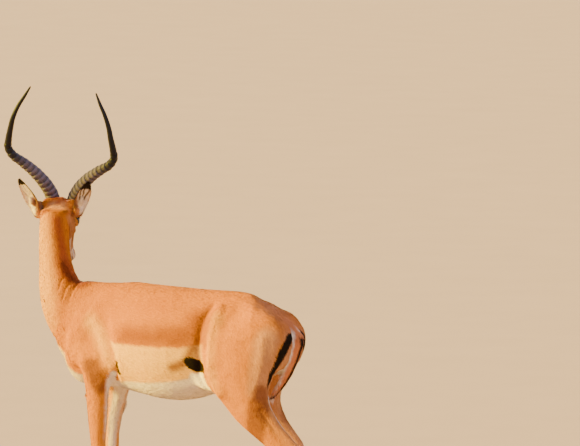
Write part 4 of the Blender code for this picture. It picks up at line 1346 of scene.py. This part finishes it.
def tuft_sizes(roots, share):
    """Length, width, rise of the middle and stand of the tip of every tuft."""
    x, _, z = roots.T
    local = head_place(roots)
    n = len(roots)
    nape_gap, nape_along = to_line(roots, NAPE_LINE)
    ruff = ramp(0.050, 0.020, nape_gap) * ramp(0.45, 0.75, nape_along)
    belly = ramp(0.585, 0.55, z) * (1.0 - share["leg"])
    shin, foot = share["leg"] * ramp(0.52, 0.36, z), share["leg"] * ramp(0.24, 0.12, z)
    muzzle = ramp(0.10, 0.20, local[:, 0]) * share["head"]
    face = share["head"] * ramp(-0.01, 0.06, local[:, 0])

    length = 0.0135 + 0.0010 * share["neck"] + 0.006 * ruff + 0.003 * belly - 0.0055 * shin - 0.0026 * foot
    length = towards(length, face, 0.0054 - 0.0024 * muzzle)
    length = towards(length, share["tail"], 0.021)
    length = towards(length, share["ear"], 0.0058 + 0.0052 * hollow_of_ear(roots))
    width = 0.0019 - 0.0007 * shin - 0.0003 * foot + 0.0002 * share["tail"] + 0.0002 * ruff
    width = towards(towards(width, face, 0.00085 - 0.00025 * muzzle), share["ear"], 0.0009)
    depth = coat_depth(roots, share)
    rise = depth * (0.16 + 0.26 * rng.random(n))
    stand = depth * (0.16 + 0.34 * rng.random(n)) + 0.0022 * ruff * rng.random(n)

    length = np.where(z < FOOT_BELOW, FOOT_LENGTH, length)
    hind_x, _, hind_back = leg_at("hind", roots)
    gland = (x < -0.3) & (hind_x - 0.30 * hind_back - x > 0) & (np.abs(z - 0.170) < 0.034)
    length = np.where(gland, 0.015, length)
    stand = np.where(gland, 0.0034 * rng.random(n) + 0.001, stand)
    _, tail_along = to_line(roots, TAIL[:, :3])
    length = length + share["tail"] * 0.010 * ramp(0.6, 1.0, tail_along)
    length = length * (0.78 + 0.44 * rng.random(n))
    width = width * (0.80 + 0.40 * rng.random(n))
    return length, width, rise, stand


# %% Size and lay every tuft
STRAY, LEAN, SWAY = 0.13, 0.24, 0.10  # spread of a tuft's aim, of its roll and of its bend
length, width, rise, stand = tuft_sizes(roots, root_share)
lie = lie_of_coat(roots, root_normals, root_share)
stray = rng.normal(0.0, STRAY, total)
lie = unit(lie * np.cos(stray)[:, None] + np.cross(root_normals, lie) * np.sin(stray)[:, None])
root_marks = markings(roots, root_share)
tone = rng.random(total)
clock("tufts sized")

# %% [markdown]
# ## The unwrap named OFBake
# Each coat piece carries a flat map named OFBake, in which a tuft is a tiny patch at the place of
# its root. The skin is laid flat from inside: round parts are cast onto a folded eight-sided shell,
# and long ones are unrolled round their middle line, so near neighbours stay near neighbours.

# %% Lay the skin flat
def fold_flat(ray, half=False):
    """Octahedral map of directions; `half` spreads the half with ray y above zero over the square."""
    ray = ray / np.abs(ray).sum(axis=1, keepdims=True)
    if half:
        return np.stack((ray[:, 0] + ray[:, 2], ray[:, 0] - ray[:, 2]), axis=1) * 0.5 + 0.5
    flat = ray[:, :2].copy()
    under = ray[:, 2] < 0
    swapped = (1.0 - np.abs(ray[:, [1, 0]])) * np.where(ray[:, :2] >= 0, 1.0, -1.0)
    flat[under] = swapped[under]
    return flat * 0.5 + 0.5


def unroll(aside, ahead, height, low, high, slot=0, slots=1):
    """A long part opened along one side; several such parts can share the square."""
    turn = np.arctan2(aside, ahead) / (2.0 * math.pi) + 0.5
    return np.stack(((slot + 0.02 + 0.96 * turn) / slots, (height - low) / (high - low)), axis=1)


# %% Lay each coat piece flat
NECK_MIDDLE = mm((660, 340), (790, 398), (890, 439), (1130, 465))  # height, place ahead


def unwrap(piece, place):
    """The place on the flat map of every root of a piece."""
    x, y, z = place.T
    if piece.startswith(("coat_shoulder", "coat_haunch")):
        middle_x = 0.16 if "shoulder" in piece else -0.26
        ray = unit(np.stack(((x - middle_x) / 1.2, np.abs(y) + 0.002, z - 0.70), axis=1))
        return fold_flat(ray, half=True)
    if piece == "coat_head":
        local = head_place(place)
        ray = np.stack((local[:, 1], local[:, 2] + 0.005, (local[:, 0] - 0.09) / 2.2), axis=1)
        return fold_flat(unit(ray))
    if piece == "coat_neck":
        return unroll(y + 0.012, x - np.interp(z, *NECK_MIDDLE.T), z, 0.55, 1.20)
    if piece == "coat_tail":
        _, along = to_line(place, TAIL[:, :3])
        off = place - on_tail_line(along)
        return unroll(off[:, 1], -off[:, 0], along, -0.05, 1.05)
    if piece == "coat_ears":
        flat = np.zeros((len(place), 2))
        for i, ear in enumerate(EARS):
            along, across, out = ear_place(place, ear)
            here = np.hypot(across, out) < 0.05
            flat[here] = unroll(across, out, along, -0.03, 0.14, i, 2)[here]
        return flat
    ahead, middle, _ = leg_at("fore" if "fore" in piece else "hind", place)
    left, right = (unroll(np.abs(y) - middle, x - ahead, z, 0.03, 0.68, slot, 2) for slot in (0, 1))
    return np.where((y > 0)[:, None], left, right)


# %% [markdown]
# ## Join the tufts into coat pieces
# Hundreds of thousands of separate objects would choke any scene, so the tufts of one part of the
# body are written straight into the arrays of one mesh. Each point also carries its markings, its
# place along the blade and a tone of its own, all read at the root, so a tuft has one colour.

# %% Add the lashes to the deal
LASHES = 150  # on each upper lid


def lash_rows():
    """Roots and directions of the lashes along both upper lids."""
    rows = []
    for side, middle in EYES.items():
        outward, to_corner, upward = EYE_AXES[side]
        along = np.linspace(-0.98, 0.70, LASHES) + rng.normal(0.0, 0.02, LASHES)
        above = UPPER_LID * np.maximum(lid_arch(along), 0.0) + 0.09 + 0.05 * rng.random(LASHES)
        level, rising = np.cos(above)[:, None], np.sin(above)[:, None]
        ray = (
            outward * (level * np.cos(along)[:, None]) + to_corner * (level * np.sin(along)[:, None])
            + upward * rising
        )
        way = unit(ray * 0.95 - upward * 0.20 + to_corner * (0.5 * along)[:, None])
        rows.append((middle + ray * (EYE_RADIUS + 0.0008), way))
    return (np.concatenate(part) for part in zip(*rows))


def append(values, more):
    """Values with more of them at the end; a single number stands for all the lashes."""
    return np.concatenate((values, np.broadcast_to(more, (lash_count, *values.shape[1:]))))


lash_root, lash_way = lash_rows()
lash_normal = unit(TO_BROW - lash_way * (lash_way @ TO_BROW)[:, None])
lash_count = len(lash_root)
roots, lie, root_normals = append(roots, lash_root), append(lie, lash_way), append(root_normals, lash_normal)
length = append(length, 0.0065 + 0.0040 * rng.random(lash_count))
width, rise, stand = append(width, 0.00042), append(rise, -0.0004), append(stand, 0.0012)
tone = append(tone, 0.5)
lash_share = {**parts_of(lash_root), "head": 1.0, "ear": 0.0, "neck": 0.0}
root_share = {part: append(root_share[part], lash_share[part]) for part in root_share}
root_marks = {mark: append(root_marks[mark], 0.02 if mark == "black" else OUTSIDE) for mark in MARK_NAMES}
total += lash_count
print("lashes:", lash_count)

# %% Build one coat piece
PATCH = 0.003  # size of a tuft's patch on the flat map
SUNK = 0.0004  # depth of a root in the skin
MIDDLE = 0.46  # place of the middle corners along a blade
BLADE = np.array((0.0, 0.0, MIDDLE, MIDDLE, 1.0))
BLADE_CORNERS = (0, 1, 2, 3, 3, 2, 4)  # a quad and then a triangle
PATCH_CORNERS = np.array((
    (-0.5, -0.5), (0.5, -0.5), (0.5, 0.1), (-0.5, 0.1), (-0.5, 0.1), (0.5, 0.1), (0.0, 0.5),
))


def write_marks(mesh, marks, spots, along, tones):
    """Keep on every point what the finishes read."""
    for mark in MARK_NAMES:
        note(mesh, "mark_" + mark, marks[mark])
    note(mesh, "spot", spots)
    note(mesh, "blade", along)
    note(mesh, "tone", tones)


def tuft_points(index):
    """The five points of every chosen tuft."""
    root, normal, way = roots[index], root_normals[index], lie[index]
    long, wide, up, tip_up = (v[index][:, None] for v in (length, width, rise, stand))
    lean = rng.normal(0.0, LEAN, len(index))[:, None]
    aside = np.cross(way, normal)
    edge = (aside * np.cos(lean) + normal * np.sin(lean)) * wide * 0.5
    sway = aside * rng.normal(0.0, SWAY, len(index))[:, None] * long
    sunk = root - normal * SUNK
    middle = root + way * long * MIDDLE + normal * up + sway * 0.3
    tip = root + way * long + normal * tip_up + sway
    return np.stack((sunk - edge * 0.8, sunk + edge * 0.8, middle + edge, middle - edge, tip), axis=1)


def coat_piece(name, chosen):
    """One mesh with all the chosen tufts, their marks and their flat map."""
    index = np.nonzero(chosen)[0]
    n = len(index)
    mesh = bpy.data.meshes.new(name)
    mesh.vertices.add(n * 5)
    mesh.vertices.foreach_set("co", (tuft_points(index).reshape(-1, 3) + BODY_SHIFT).ravel())
    corners = np.arange(n)[:, None] * 5 + BLADE_CORNERS
    mesh.loops.add(n * 7)
    mesh.loops.foreach_set("vertex_index", corners.ravel().astype(np.int32))
    mesh.polygons.add(n * 2)
    starts = np.arange(n)[:, None] * 7 + (0, 4)
    mesh.polygons.foreach_set("loop_start", starts.ravel().astype(np.int32))
    mesh.polygons.foreach_set("use_smooth", np.ones(n * 2, dtype=bool))
    mesh.update(calc_edges=True)
    patch = np.clip(unwrap(name, roots[index])[:, None] + PATCH_CORNERS * PATCH, 0.0, 1.0)
    mesh.uv_layers.new(name="OFBake").data.foreach_set("uv", patch.astype(np.float32).ravel())
    marks = {mark: np.repeat(root_marks[mark][index], 5) for mark in MARK_NAMES}
    write_marks(mesh, marks, np.repeat(roots[index], 5, axis=0), np.tile(BLADE, n), np.repeat(tone[index], 5))
    print(f"{name}: {n} tufts, {n * 3} triangles")
    return add_object(name, mesh)


# %% Share the tufts out and build every piece
HALFWAY = -0.02  # where the coat of the shoulder meets that of the haunch
# the skin under the hair takes the painted root shade of a blade's lower part
HIDE_BLADE, HIDE_TONE = 0.30, 0.45  # the skin under the hair looks like the lower part of a plain blade

kind = np.full(total, "", dtype=object)
for half, in_half in (("shoulder", roots[:, 0] > HALFWAY), ("haunch", roots[:, 0] <= HALFWAY)):
    for side, on_side in (("left", roots[:, 1] >= 0.0), ("right", roots[:, 1] < 0.0)):
        kind[in_half & on_side] = f"coat_{half}_{side}"
for part, piece in (
    ("neck", "coat_neck"), ("fore", "coat_fore_legs"), ("hind", "coat_hind_legs"),
    ("tail", "coat_tail"), ("head", "coat_head"), ("ear", "coat_ears"),
):
    kind[root_share[part] > 0.5] = piece
coat = {name: coat_piece(name, kind == name) for name in sorted(set(kind))}
hide = [np.full(len(place), value) for value in (HIDE_BLADE, HIDE_TONE)]
write_marks(skin.data, markings(place, parts_of(place)), place, *hide)
clock("coat joined")

# %% [markdown]
# ## Finishes
# A finish is a small graph of shader nodes. The helpers below add a node and join its sockets in
# one call, which keeps each finish as short as its description. Effects that several finishes use
# are node groups with named inputs and outputs.

# %% Helpers for node graphs
def feed(tree, socket, value):
    """Join an input to a socket, or set it to a plain value."""
    if isinstance(value, bpy.types.NodeSocket):
        tree.links.new(value, socket)
    else:
        socket.default_value = value


def node(tree, kind, links=(), **settings):
    """A shader node; `links` pairs an input with a socket or a plain value."""
    made = tree.nodes.new(kind)
    for key, value in settings.items():
        setattr(made, key, value)
    for name, value in dict(links).items():
        feed(tree, made.inputs[name], value)
    return made


def read(tree, name, vector=False):
    """A value or a vector that the points of the mesh carry."""
    made = node(tree, "ShaderNodeAttribute", attribute_name=name)
    return made.outputs["Vector" if vector else "Fac"]


def maths(tree, operation, *values):
    return node(tree, "ShaderNodeMath", dict(enumerate(values)), operation=operation).outputs[0]


def speckle(tree, place, scale, detail=2.0, roughness=0.5):
    """Noise from 0 to 1 over a place."""
    links = {"Vector": place, "Scale": scale, "Detail": detail, "Roughness": roughness}
    return node(tree, "ShaderNodeTexNoise", links).outputs["Fac"]


def span(tree, value, low, high, to_low=0.0, to_high=1.0, smooth=True):
    """A value moved from one span to another, and held at its ends."""
    links = {"Value": value, "From Min": low, "From Max": high, "To Min": to_low, "To Max": to_high}
    kind = "SMOOTHSTEP" if smooth else "LINEAR"
    return node(tree, "ShaderNodeMapRange", links, interpolation_type=kind).outputs["Result"]


def blend(tree, share, low, high, way="MIX"):
    """A colour between two others; the colour sockets of this node have the numbers 6, 7 and 2."""
    links = {0: share, 6: low, 7: high}
    made = node(tree, "ShaderNodeMix", data_type="RGBA", blend_type=way, clamp_factor=True)
    for number, value in links.items():
        feed(tree, made.inputs[number], value)
    return made.outputs[2]


def new_group(name, inputs, outputs):
    """A node group with its inputs and outputs."""
    group = bpy.data.node_groups.new(name, "ShaderNodeTree")
    for label, kind, value in inputs:
        socket = group.interface.new_socket(label, in_out="INPUT", socket_type=kind)
        if value is not None:
            socket.default_value = value
    for label, kind in outputs:
        group.interface.new_socket(label, in_out="OUTPUT", socket_type=kind)
    return group, group.nodes.new("NodeGroupInput").outputs, group.nodes.new("NodeGroupOutput").inputs


def place_group(tree, group, links):
    return node(tree, "ShaderNodeGroup", links, node_tree=group).outputs


# %% [markdown]
# ## The frayed border of a marking
# Where two hair colours meet, long hairs of one lie over the other, so no border is a clean line.
# This group takes the distance to a border, shakes it with noise and softens it into a mask. The
# saddle, the belly and the black marks all use it, each with its own softness and raggedness.

# %% Node group: frayed border
frayed, given, result = new_group(
    "frayed_border",
    (
        ("Distance", "NodeSocketFloat", 0.0), ("Spot", "NodeSocketVector", None),
        ("Softness", "NodeSocketFloat", 0.004), ("Raggedness", "NodeSocketFloat", 0.010),
        ("Grain", "NodeSocketFloat", 90.0),
    ),
    (("Mask", "NodeSocketFloat"),),
)
shake = node(frayed, "ShaderNodeTexNoise", {"Vector": given["Spot"], "Scale": given["Grain"], "Detail": 3.0})
shaken = maths(frayed, "MULTIPLY", maths(frayed, "SUBTRACT", shake.outputs["Fac"], 0.5), given["Raggedness"])
moved = maths(frayed, "ADD", given["Distance"], shaken)
border = span(frayed, moved, maths(frayed, "MULTIPLY", given["Softness"], -1.0), given["Softness"])
frayed.links.new(border, result["Mask"])
print("inputs of the frayed border", len(given) - 1)

# %% [markdown]
# ## The coat's colours
# Each blade is painted darker towards its root, as the shade that the blades above it cast; no two
# locks have quite the same tone, and broad patches of sun-bleached or fresh hair drift over the body.
# One group mixes all of that with the markings, so the skin under the hair and the hair itself match
# wherever the hair thins.

# %% The coat's palette
TAWNY = (0.620, 0.220, 0.009, 1.0)
SADDLE = (0.460, 0.136, 0.006, 1.0)
BLACK = (0.010, 0.008, 0.007, 1.0)
# marking: its colour and strength, in the order in which one lies over the other
LAYERS = {
    # pale: paler inner fore leg and eye ring, and painted highlights on shoulder, haunch and neck
    "pale": ((0.8, 0.42, 0.07, 1.0), 0.88),
    "fawn": ((0.56, 0.275, 0.13, 1.0), 0.85),
    # painted skylight of croup and tail: the coat lighter and bluer, as shade lit by a cool sky
    "painted_skylight": ((0.64, 0.22, 0.11, 1.0), 0.85),
    # darker band of the saddle, partly painted shade
    "saddle": ((0.23, 0.06, 0.008, 1.0), 0.78),
    "flank": ((0.8, 0.455, 0.09, 1.0), 1.0),
    # painted shade of elbow, low flank and gaskin, partly darker hair at the gaskin
    "shade": ((0.21, 0.066, 0.024, 1.0), 0.84),
    "rust": ((0.32, 0.068, 0.022, 1.0), 0.88),
    "ruff": ((0.13, 0.028, 0.009, 1.0), 0.85),
    "white": ((0.82, 0.72, 0.64, 1.0), 1.0),
    # grey-brown back of the ears, and painted shade at their roots
    "smoke_and_shade": ((0.13, 0.092, 0.068, 1.0), 0.75),
    "streak": ((0.085, 0.05, 0.034, 1.0), 0.88),
}
# marking: softness and raggedness of its border in metres, grain of the ragged edge
BORDERS = {
    "flank": (0.007, 0.01, 60.0), "white": (0.006, 0.008, 80.0), "black": (0.0018, 0.0036, 160.0),
    "rust": (0.018, 0.022, 50.0), "shade": (0.014, 0.014, 60.0), "pale": (0.03, 0.02, 30.0),
    "streak": (0.0012, 0.003, 260.0), "fawn": (0.022, 0.014, 40.0), "painted_skylight": (0.09, 0.016, 30.0),
    "saddle": (0.034, 0.02, 25.0), "ruff": (0.009, 0.03, 110.0), "smoke_and_shade": (0.006, 0.008, 120.0),
}

# %% Node group: coat colour
coat_colour, given, result = new_group(
    "coat_colour",
    (("Spot", "NodeSocketVector", None), ("Blade", "NodeSocketFloat", 0.5), ("Tone", "NodeSocketFloat", 0.5)),
    (("Color", "NodeSocketColor"), ("Bump", "NodeSocketFloat"), ("Roughness", "NodeSocketFloat")),
)
spot = given["Spot"]


def mask_of(mark):
    """The frayed mask of a marking."""
    softness, raggedness, grain = BORDERS[mark]
    return place_group(coat_colour, frayed, {
        "Distance": read(coat_colour, "mark_" + mark), "Spot": spot, "Softness": softness,
        "Raggedness": raggedness, "Grain": grain,
    })["Mask"]


tree = coat_colour
height = node(tree, "ShaderNodeSeparateXYZ", {"Vector": spot}).outputs["Z"]
back = span(tree, height, 0.64, 0.86)
drift = speckle(tree, spot, 7.0, 3.0)
colour = blend(tree, maths(tree, "MULTIPLY", back, 0.50), TAWNY, SADDLE)
colour = blend(tree, span(tree, drift, 0.40, 0.70, 0.0, 0.30), colour, SADDLE)
for mark, (layer, strength) in LAYERS.items():
    colour = blend(tree, maths(tree, "MULTIPLY", mask_of(mark), strength), colour, layer)
# painted shade: each blade darker towards its root, where the blades above it shade it
root_painted_shade = span(tree, given["Blade"], 0.0, 0.5, 0.90, 1.02, smooth=False)
tone_light = span(tree, given["Tone"], 0.0, 1.0, 0.90, 1.09, smooth=False)
speck = span(tree, speckle(tree, spot, 420.0, 2.0), 0.3, 0.7, 0.90, 1.08, smooth=False)
light = maths(tree, "MULTIPLY", maths(tree, "MULTIPLY", root_painted_shade, tone_light), speck)
grey = node(tree, "ShaderNodeCombineColor", dict.fromkeys(("Red", "Green", "Blue"), light))
colour = blend(tree, 1.0, colour, grey.outputs["Color"], way="MULTIPLY")
colour = blend(tree, mask_of("black"), colour, BLACK)
tree.links.new(colour, result["Color"])
tree.links.new(speckle(tree, spot, 650.0, 3.0, 0.6), result["Bump"])
tree.links.new(span(tree, drift, 0.3, 0.7, 0.62, 0.74), result["Roughness"])
print("layers in the coat's colour", len(LAYERS) + 1)


# %% [markdown]
# ## Finishes of the hide, horn, hoof and eye
# The hide has a soft sheen, because light grazes along the hairs. Horn matter is grey and rough
# where it is ringed, with painted shade in the hollows between rings and crests made lighter partly by
# wear and partly as painted highlight, and black and smoother towards the tip. A hoof is black
# and worn. The eye is the only wet thing on the animal, so it alone has a clear coat.

# %% Helpers for materials
def new_material(name, **sockets):
    """A material with plain values set on its shader."""
    made = bpy.data.materials.new(name)
    made.use_nodes = True
    shader = made.node_tree.nodes["Principled BSDF"]
    for label, value in sockets.items():
        shader.inputs[label.replace("_", " ")].default_value = value
    return made, made.node_tree, shader


def bump(tree, shader, height, strength, distance):
    """Fine relief from a height."""
    made = node(tree, "ShaderNodeBump", {"Height": height, "Strength": strength, "Distance": distance})
    tree.links.new(made.outputs["Normal"], shader.inputs["Normal"])


# %% Hair and hide
WARM_TINT, COOL_TINT = (1.0, 0.60, 0.25, 1.0), (0.72, 0.84, 1.0, 1.0)


def coat_finish(name, strength):
    """The coat's colour with a relief of some strength."""
    made, tree, shader = new_material(
        name, Sheen_Weight=0.03, Sheen_Roughness=0.45, Sheen_Tint=WARM_TINT,
        Specular_IOR_Level=0.10, Specular_Tint=WARM_TINT)
    out = place_group(tree, coat_colour, {
        "Spot": read(tree, "spot", vector=True), "Blade": read(tree, "blade"), "Tone": read(tree, "tone")})
    tree.links.new(out["Color"], shader.inputs["Base Color"])
    tree.links.new(out["Roughness"], shader.inputs["Roughness"])
    bump(tree, shader, out["Bump"], strength, 0.0008)
    return made


hair_finish = coat_finish("hair", 0.25)
hide_finish = coat_finish("hide", 0.9)

# %% Horn
HORN_DARK, HORN_GREY = (0.056, 0.048, 0.066, 1.0), (0.115, 0.099, 0.142, 1.0)
# the crest colour is partly wear and partly painted highlight; the hollow colour is painted shade
HORN_CREST_WEAR_AND_HIGHLIGHT, HORN_HOLLOW_SHADE = (0.185, 0.158, 0.235, 1.0), (0.024, 0.019, 0.018, 1.0)
TIP_BLACK, TIP_GREY = (0.005, 0.0045, 0.008, 1.0), (0.014, 0.012, 0.022, 1.0)

horn_finish, tree, shader = new_material("horn_matter", Specular_IOR_Level=0.24, Specular_Tint=COOL_TINT)
grain = read(tree, "horn_grain", vector=True)
along, ridge = read(tree, "horn_along"), read(tree, "horn_ridge")
streaks = speckle(tree, grain, 320.0, 4.0, 0.65)
patches = speckle(tree, grain, 70.0, 2.0)
ringed = blend(tree, span(tree, streaks, 0.35, 0.70), HORN_DARK, HORN_GREY)
# lighter crest on each ring: partly wear, partly painted highlight
ringed = blend(tree, span(tree, ridge, 0.40, 0.95, 0.0, 0.45), ringed, HORN_CREST_WEAR_AND_HIGHLIGHT)
# painted shade in the hollow before each ring
ringed = blend(tree, span(tree, ridge, -0.22, 0.02, 0.90, 0.0), ringed, HORN_HOLLOW_SHADE)
smooth_tip = blend(tree, span(tree, streaks, 0.40, 0.75), TIP_BLACK, TIP_GREY)
uneven = maths(tree, "MULTIPLY", maths(tree, "SUBTRACT", patches, 0.5), 0.12)
tip_share = span(tree, maths(tree, "ADD", along, uneven), 0.34, 0.56)
tree.links.new(blend(tree, tip_share, ringed, smooth_tip), shader.inputs["Base Color"])
tree.links.new(span(tree, tip_share, 0.0, 1.0, 0.70, 0.42), shader.inputs["Roughness"])
bump(tree, shader, streaks, 0.5, 0.0010)

# %% Hoof
HOOF_BLACK, HOOF_GREY = (0.010, 0.010, 0.013, 1.0), (0.034, 0.034, 0.048, 1.0)
DUST = (0.100, 0.090, 0.110, 1.0)

hoof_finish, tree, shader = new_material("hoof_matter", Specular_IOR_Level=0.25, Specular_Tint=COOL_TINT)
place_here = node(tree, "ShaderNodeTexCoord").outputs["Object"]
worn = speckle(tree, place_here, 160.0, 4.0, 0.6)
growth = node(
    tree, "ShaderNodeTexWave", {"Vector": place_here, "Scale": 55.0, "Distortion": 2.0, "Detail": 2.0},
    bands_direction="Z").outputs["Fac"]
dark = blend(tree, span(tree, worn, 0.35, 0.75), HOOF_BLACK, HOOF_GREY)
low_down = maths(tree, "ADD", read(tree, "claw_height"), maths(tree, "MULTIPLY", worn, 0.3))
dusty = maths(tree, "MULTIPLY", span(tree, low_down, 0.45, 0.12), 0.55)
tree.links.new(blend(tree, dusty, dark, DUST), shader.inputs["Base Color"])
tree.links.new(span(tree, worn, 0.3, 0.7, 0.30, 0.55), shader.inputs["Roughness"])
bump(tree, shader, maths(tree, "ADD", growth, worn), 0.35, 0.0006)

# %% Eye
IRIS_DARK, IRIS_BROWN = (0.030, 0.014, 0.007, 1.0), (0.105, 0.050, 0.022, 1.0)
# a ring or an oval on the ball: size along and across, where it starts and is full, its colour
EYE_RINGS = (
    ((1.0, 1.0), (0.62, 0.74), (0.010, 0.008, 0.007, 1.0)),  # dark edge of the iris
    ((1.0, 1.0), (0.80, 0.92), (0.090, 0.062, 0.050, 1.0)),  # white of the eye, which is brown
    ((0.62, 1.25), (0.30, 0.24), (0.002, 0.002, 0.002, 1.0)),  # level oval pupil
)

eye_finish, tree, shader = new_material(
    "eye_wet", Coat_Weight=1.0, Coat_Roughness=0.02, Roughness=0.12, Specular_IOR_Level=0.5)
gaze = read(tree, "gaze", vector=True)
rays = speckle(tree, gaze, 16.0, 4.0, 0.7)
iris = blend(tree, span(tree, rays, 0.35, 0.70), IRIS_DARK, IRIS_BROWN)
gaze_parts = node(tree, "ShaderNodeSeparateXYZ", {"Vector": gaze}).outputs
for squeeze, (start, full), colour in EYE_RINGS:
    squares = [
        maths(tree, "POWER", maths(tree, "MULTIPLY", gaze_parts[axis], share), 2.0)
        for axis, share in zip("XY", squeeze)
    ]
    off_middle = maths(tree, "SQRT", maths(tree, "ADD", *squares))
    iris = blend(tree, span(tree, off_middle, start, full), iris, colour)
tree.links.new(iris, shader.inputs["Base Color"])
bump(tree, shader, rays, 0.05, 0.0004)
print("finishes", len(bpy.data.materials))

# %% [markdown]
# ## Hand every piece to the frame
# Each piece gets its finish and rides on the one body of this still model, and the solids it stands
# for are hidden. The skin replaces all the flesh at once.

# %% Ride, replace and finish
def hand_over(piece, finish, replaced=()):
    """Give a piece its finish and its body, and hide the solids it stands for."""
    piece.data.materials.clear()
    piece.data.materials.append(finish)
    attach(piece, "root")
    if replaced:
        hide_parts(*replaced)


hand_over(skin, hide_finish, FLESH)
for name, piece in coat.items():
    hand_over(piece, hair_finish)
for side, piece in horns.items():
    hand_over(piece, horn_finish, ("horn_" + side,))
for name, piece in claws.items():
    hand_over(piece, hoof_finish, (name,))
for side, piece in eyes.items():
    hand_over(piece, eye_finish, ("eye_" + side,))
print("pieces handed over")

# %% [markdown]
# ## Floor, light and camera
# The model stands on a plain floor. A strong warm lamp stands low on one side, as a late sun does, a
# weaker and paler one stands opposite, a faint one fills from above, and a pale surround lights the
# rest. The camera is far away behind a long lens, because animals like this are watched from afar.

# %% Floor
FLOOR_HALF = 120.0
FLOOR_DARK, FLOOR_LIGHT = (0.43, 0.315, 0.25, 1.0), (0.48, 0.35, 0.285, 1.0)
floor_mesh = bpy.data.meshes.new("floor")
floor_mesh.from_pydata(
    [(FLOOR_HALF * x, FLOOR_HALF * y, 0.0) for x, y in ((-1, -1), (1, -1), (1, 1), (-1, 1))],
    [], [(0, 1, 2, 3)])
floor = add_object("floor", floor_mesh)
floor_finish, tree, shader = new_material("floor_pale", Roughness=0.9)
mottle = speckle(tree, node(tree, "ShaderNodeTexCoord").outputs["Object"], 3.0, 4.0)
tree.links.new(blend(tree, mottle, FLOOR_DARK, FLOOR_LIGHT), shader.inputs["Base Color"])
floor_mesh.materials.append(floor_finish)

# %% Surround and lamps
world = bpy.data.worlds.new("surround")
bpy.context.scene.world = world
world.use_nodes = True
surround = world.node_tree.nodes["Background"].inputs
surround["Color"].default_value = (0.88, 0.82, 0.92, 1.0)
surround["Strength"].default_value = 0.66


def soft_light(name, way_to, strength, spread, colour):
    """An even light from one direction, as from a wide window far away."""
    lamp = bpy.data.lights.new(name, "SUN")
    lamp.energy, lamp.angle, lamp.color = strength, math.radians(spread), colour
    obj = add_object(name, lamp)
    obj.location = Vector(way_to) * 10.0
    obj.rotation_euler = (-Vector(way_to)).to_track_quat("-Z", "Y").to_euler()


soft_light("key_light", (0.79, 0.48, 0.35), 19.0, 14.0, (1.0, 0.72, 0.06))
soft_light("rim_light", (0.40, -0.75, 0.50), 1.6, 40.0, (1.0, 0.93, 0.84))
soft_light("fill_light", (-0.60, 0.30, 0.75), 1.2, 60.0, (1.0, 0.86, 0.85))

# %% Camera
LOOK_SIDE, LOOK_DROP = math.radians(28.0), math.radians(5.5)
CAMERA_DISTANCE, FILM_WIDTH = 22.0, 36.0
FRAME_SPAN = 2.0  # metres across the view at the aim
AIM = Vector((0.174, 0.0447, 0.900))
AIM_RIGHT, AIM_UP = -0.593103, -0.191379  # how far the aim lies right of and above the view's middle
level = math.cos(LOOK_DROP)
look = Vector((math.sin(LOOK_SIDE) * level, -math.cos(LOOK_SIDE) * level, -math.sin(LOOK_DROP)))
turn = look.to_track_quat("-Z", "Y")
lens = bpy.data.cameras.new("camera")
lens.sensor_width = FILM_WIDTH
lens.lens = FILM_WIDTH * CAMERA_DISTANCE / FRAME_SPAN
lens.clip_end = 1000.0
camera = add_object("camera", lens)
right, up = turn @ Vector((1, 0, 0)), turn @ Vector((0, 1, 0))
camera.location = AIM - look * CAMERA_DISTANCE - right * AIM_RIGHT - up * AIM_UP
camera.rotation_euler = turn.to_euler()
bpy.context.scene.camera = camera
print("camera at", [round(v, 3) for v in camera.location], "lens", lens.lens)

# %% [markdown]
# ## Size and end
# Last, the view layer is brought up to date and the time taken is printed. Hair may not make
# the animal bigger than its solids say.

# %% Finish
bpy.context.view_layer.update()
clock("all")
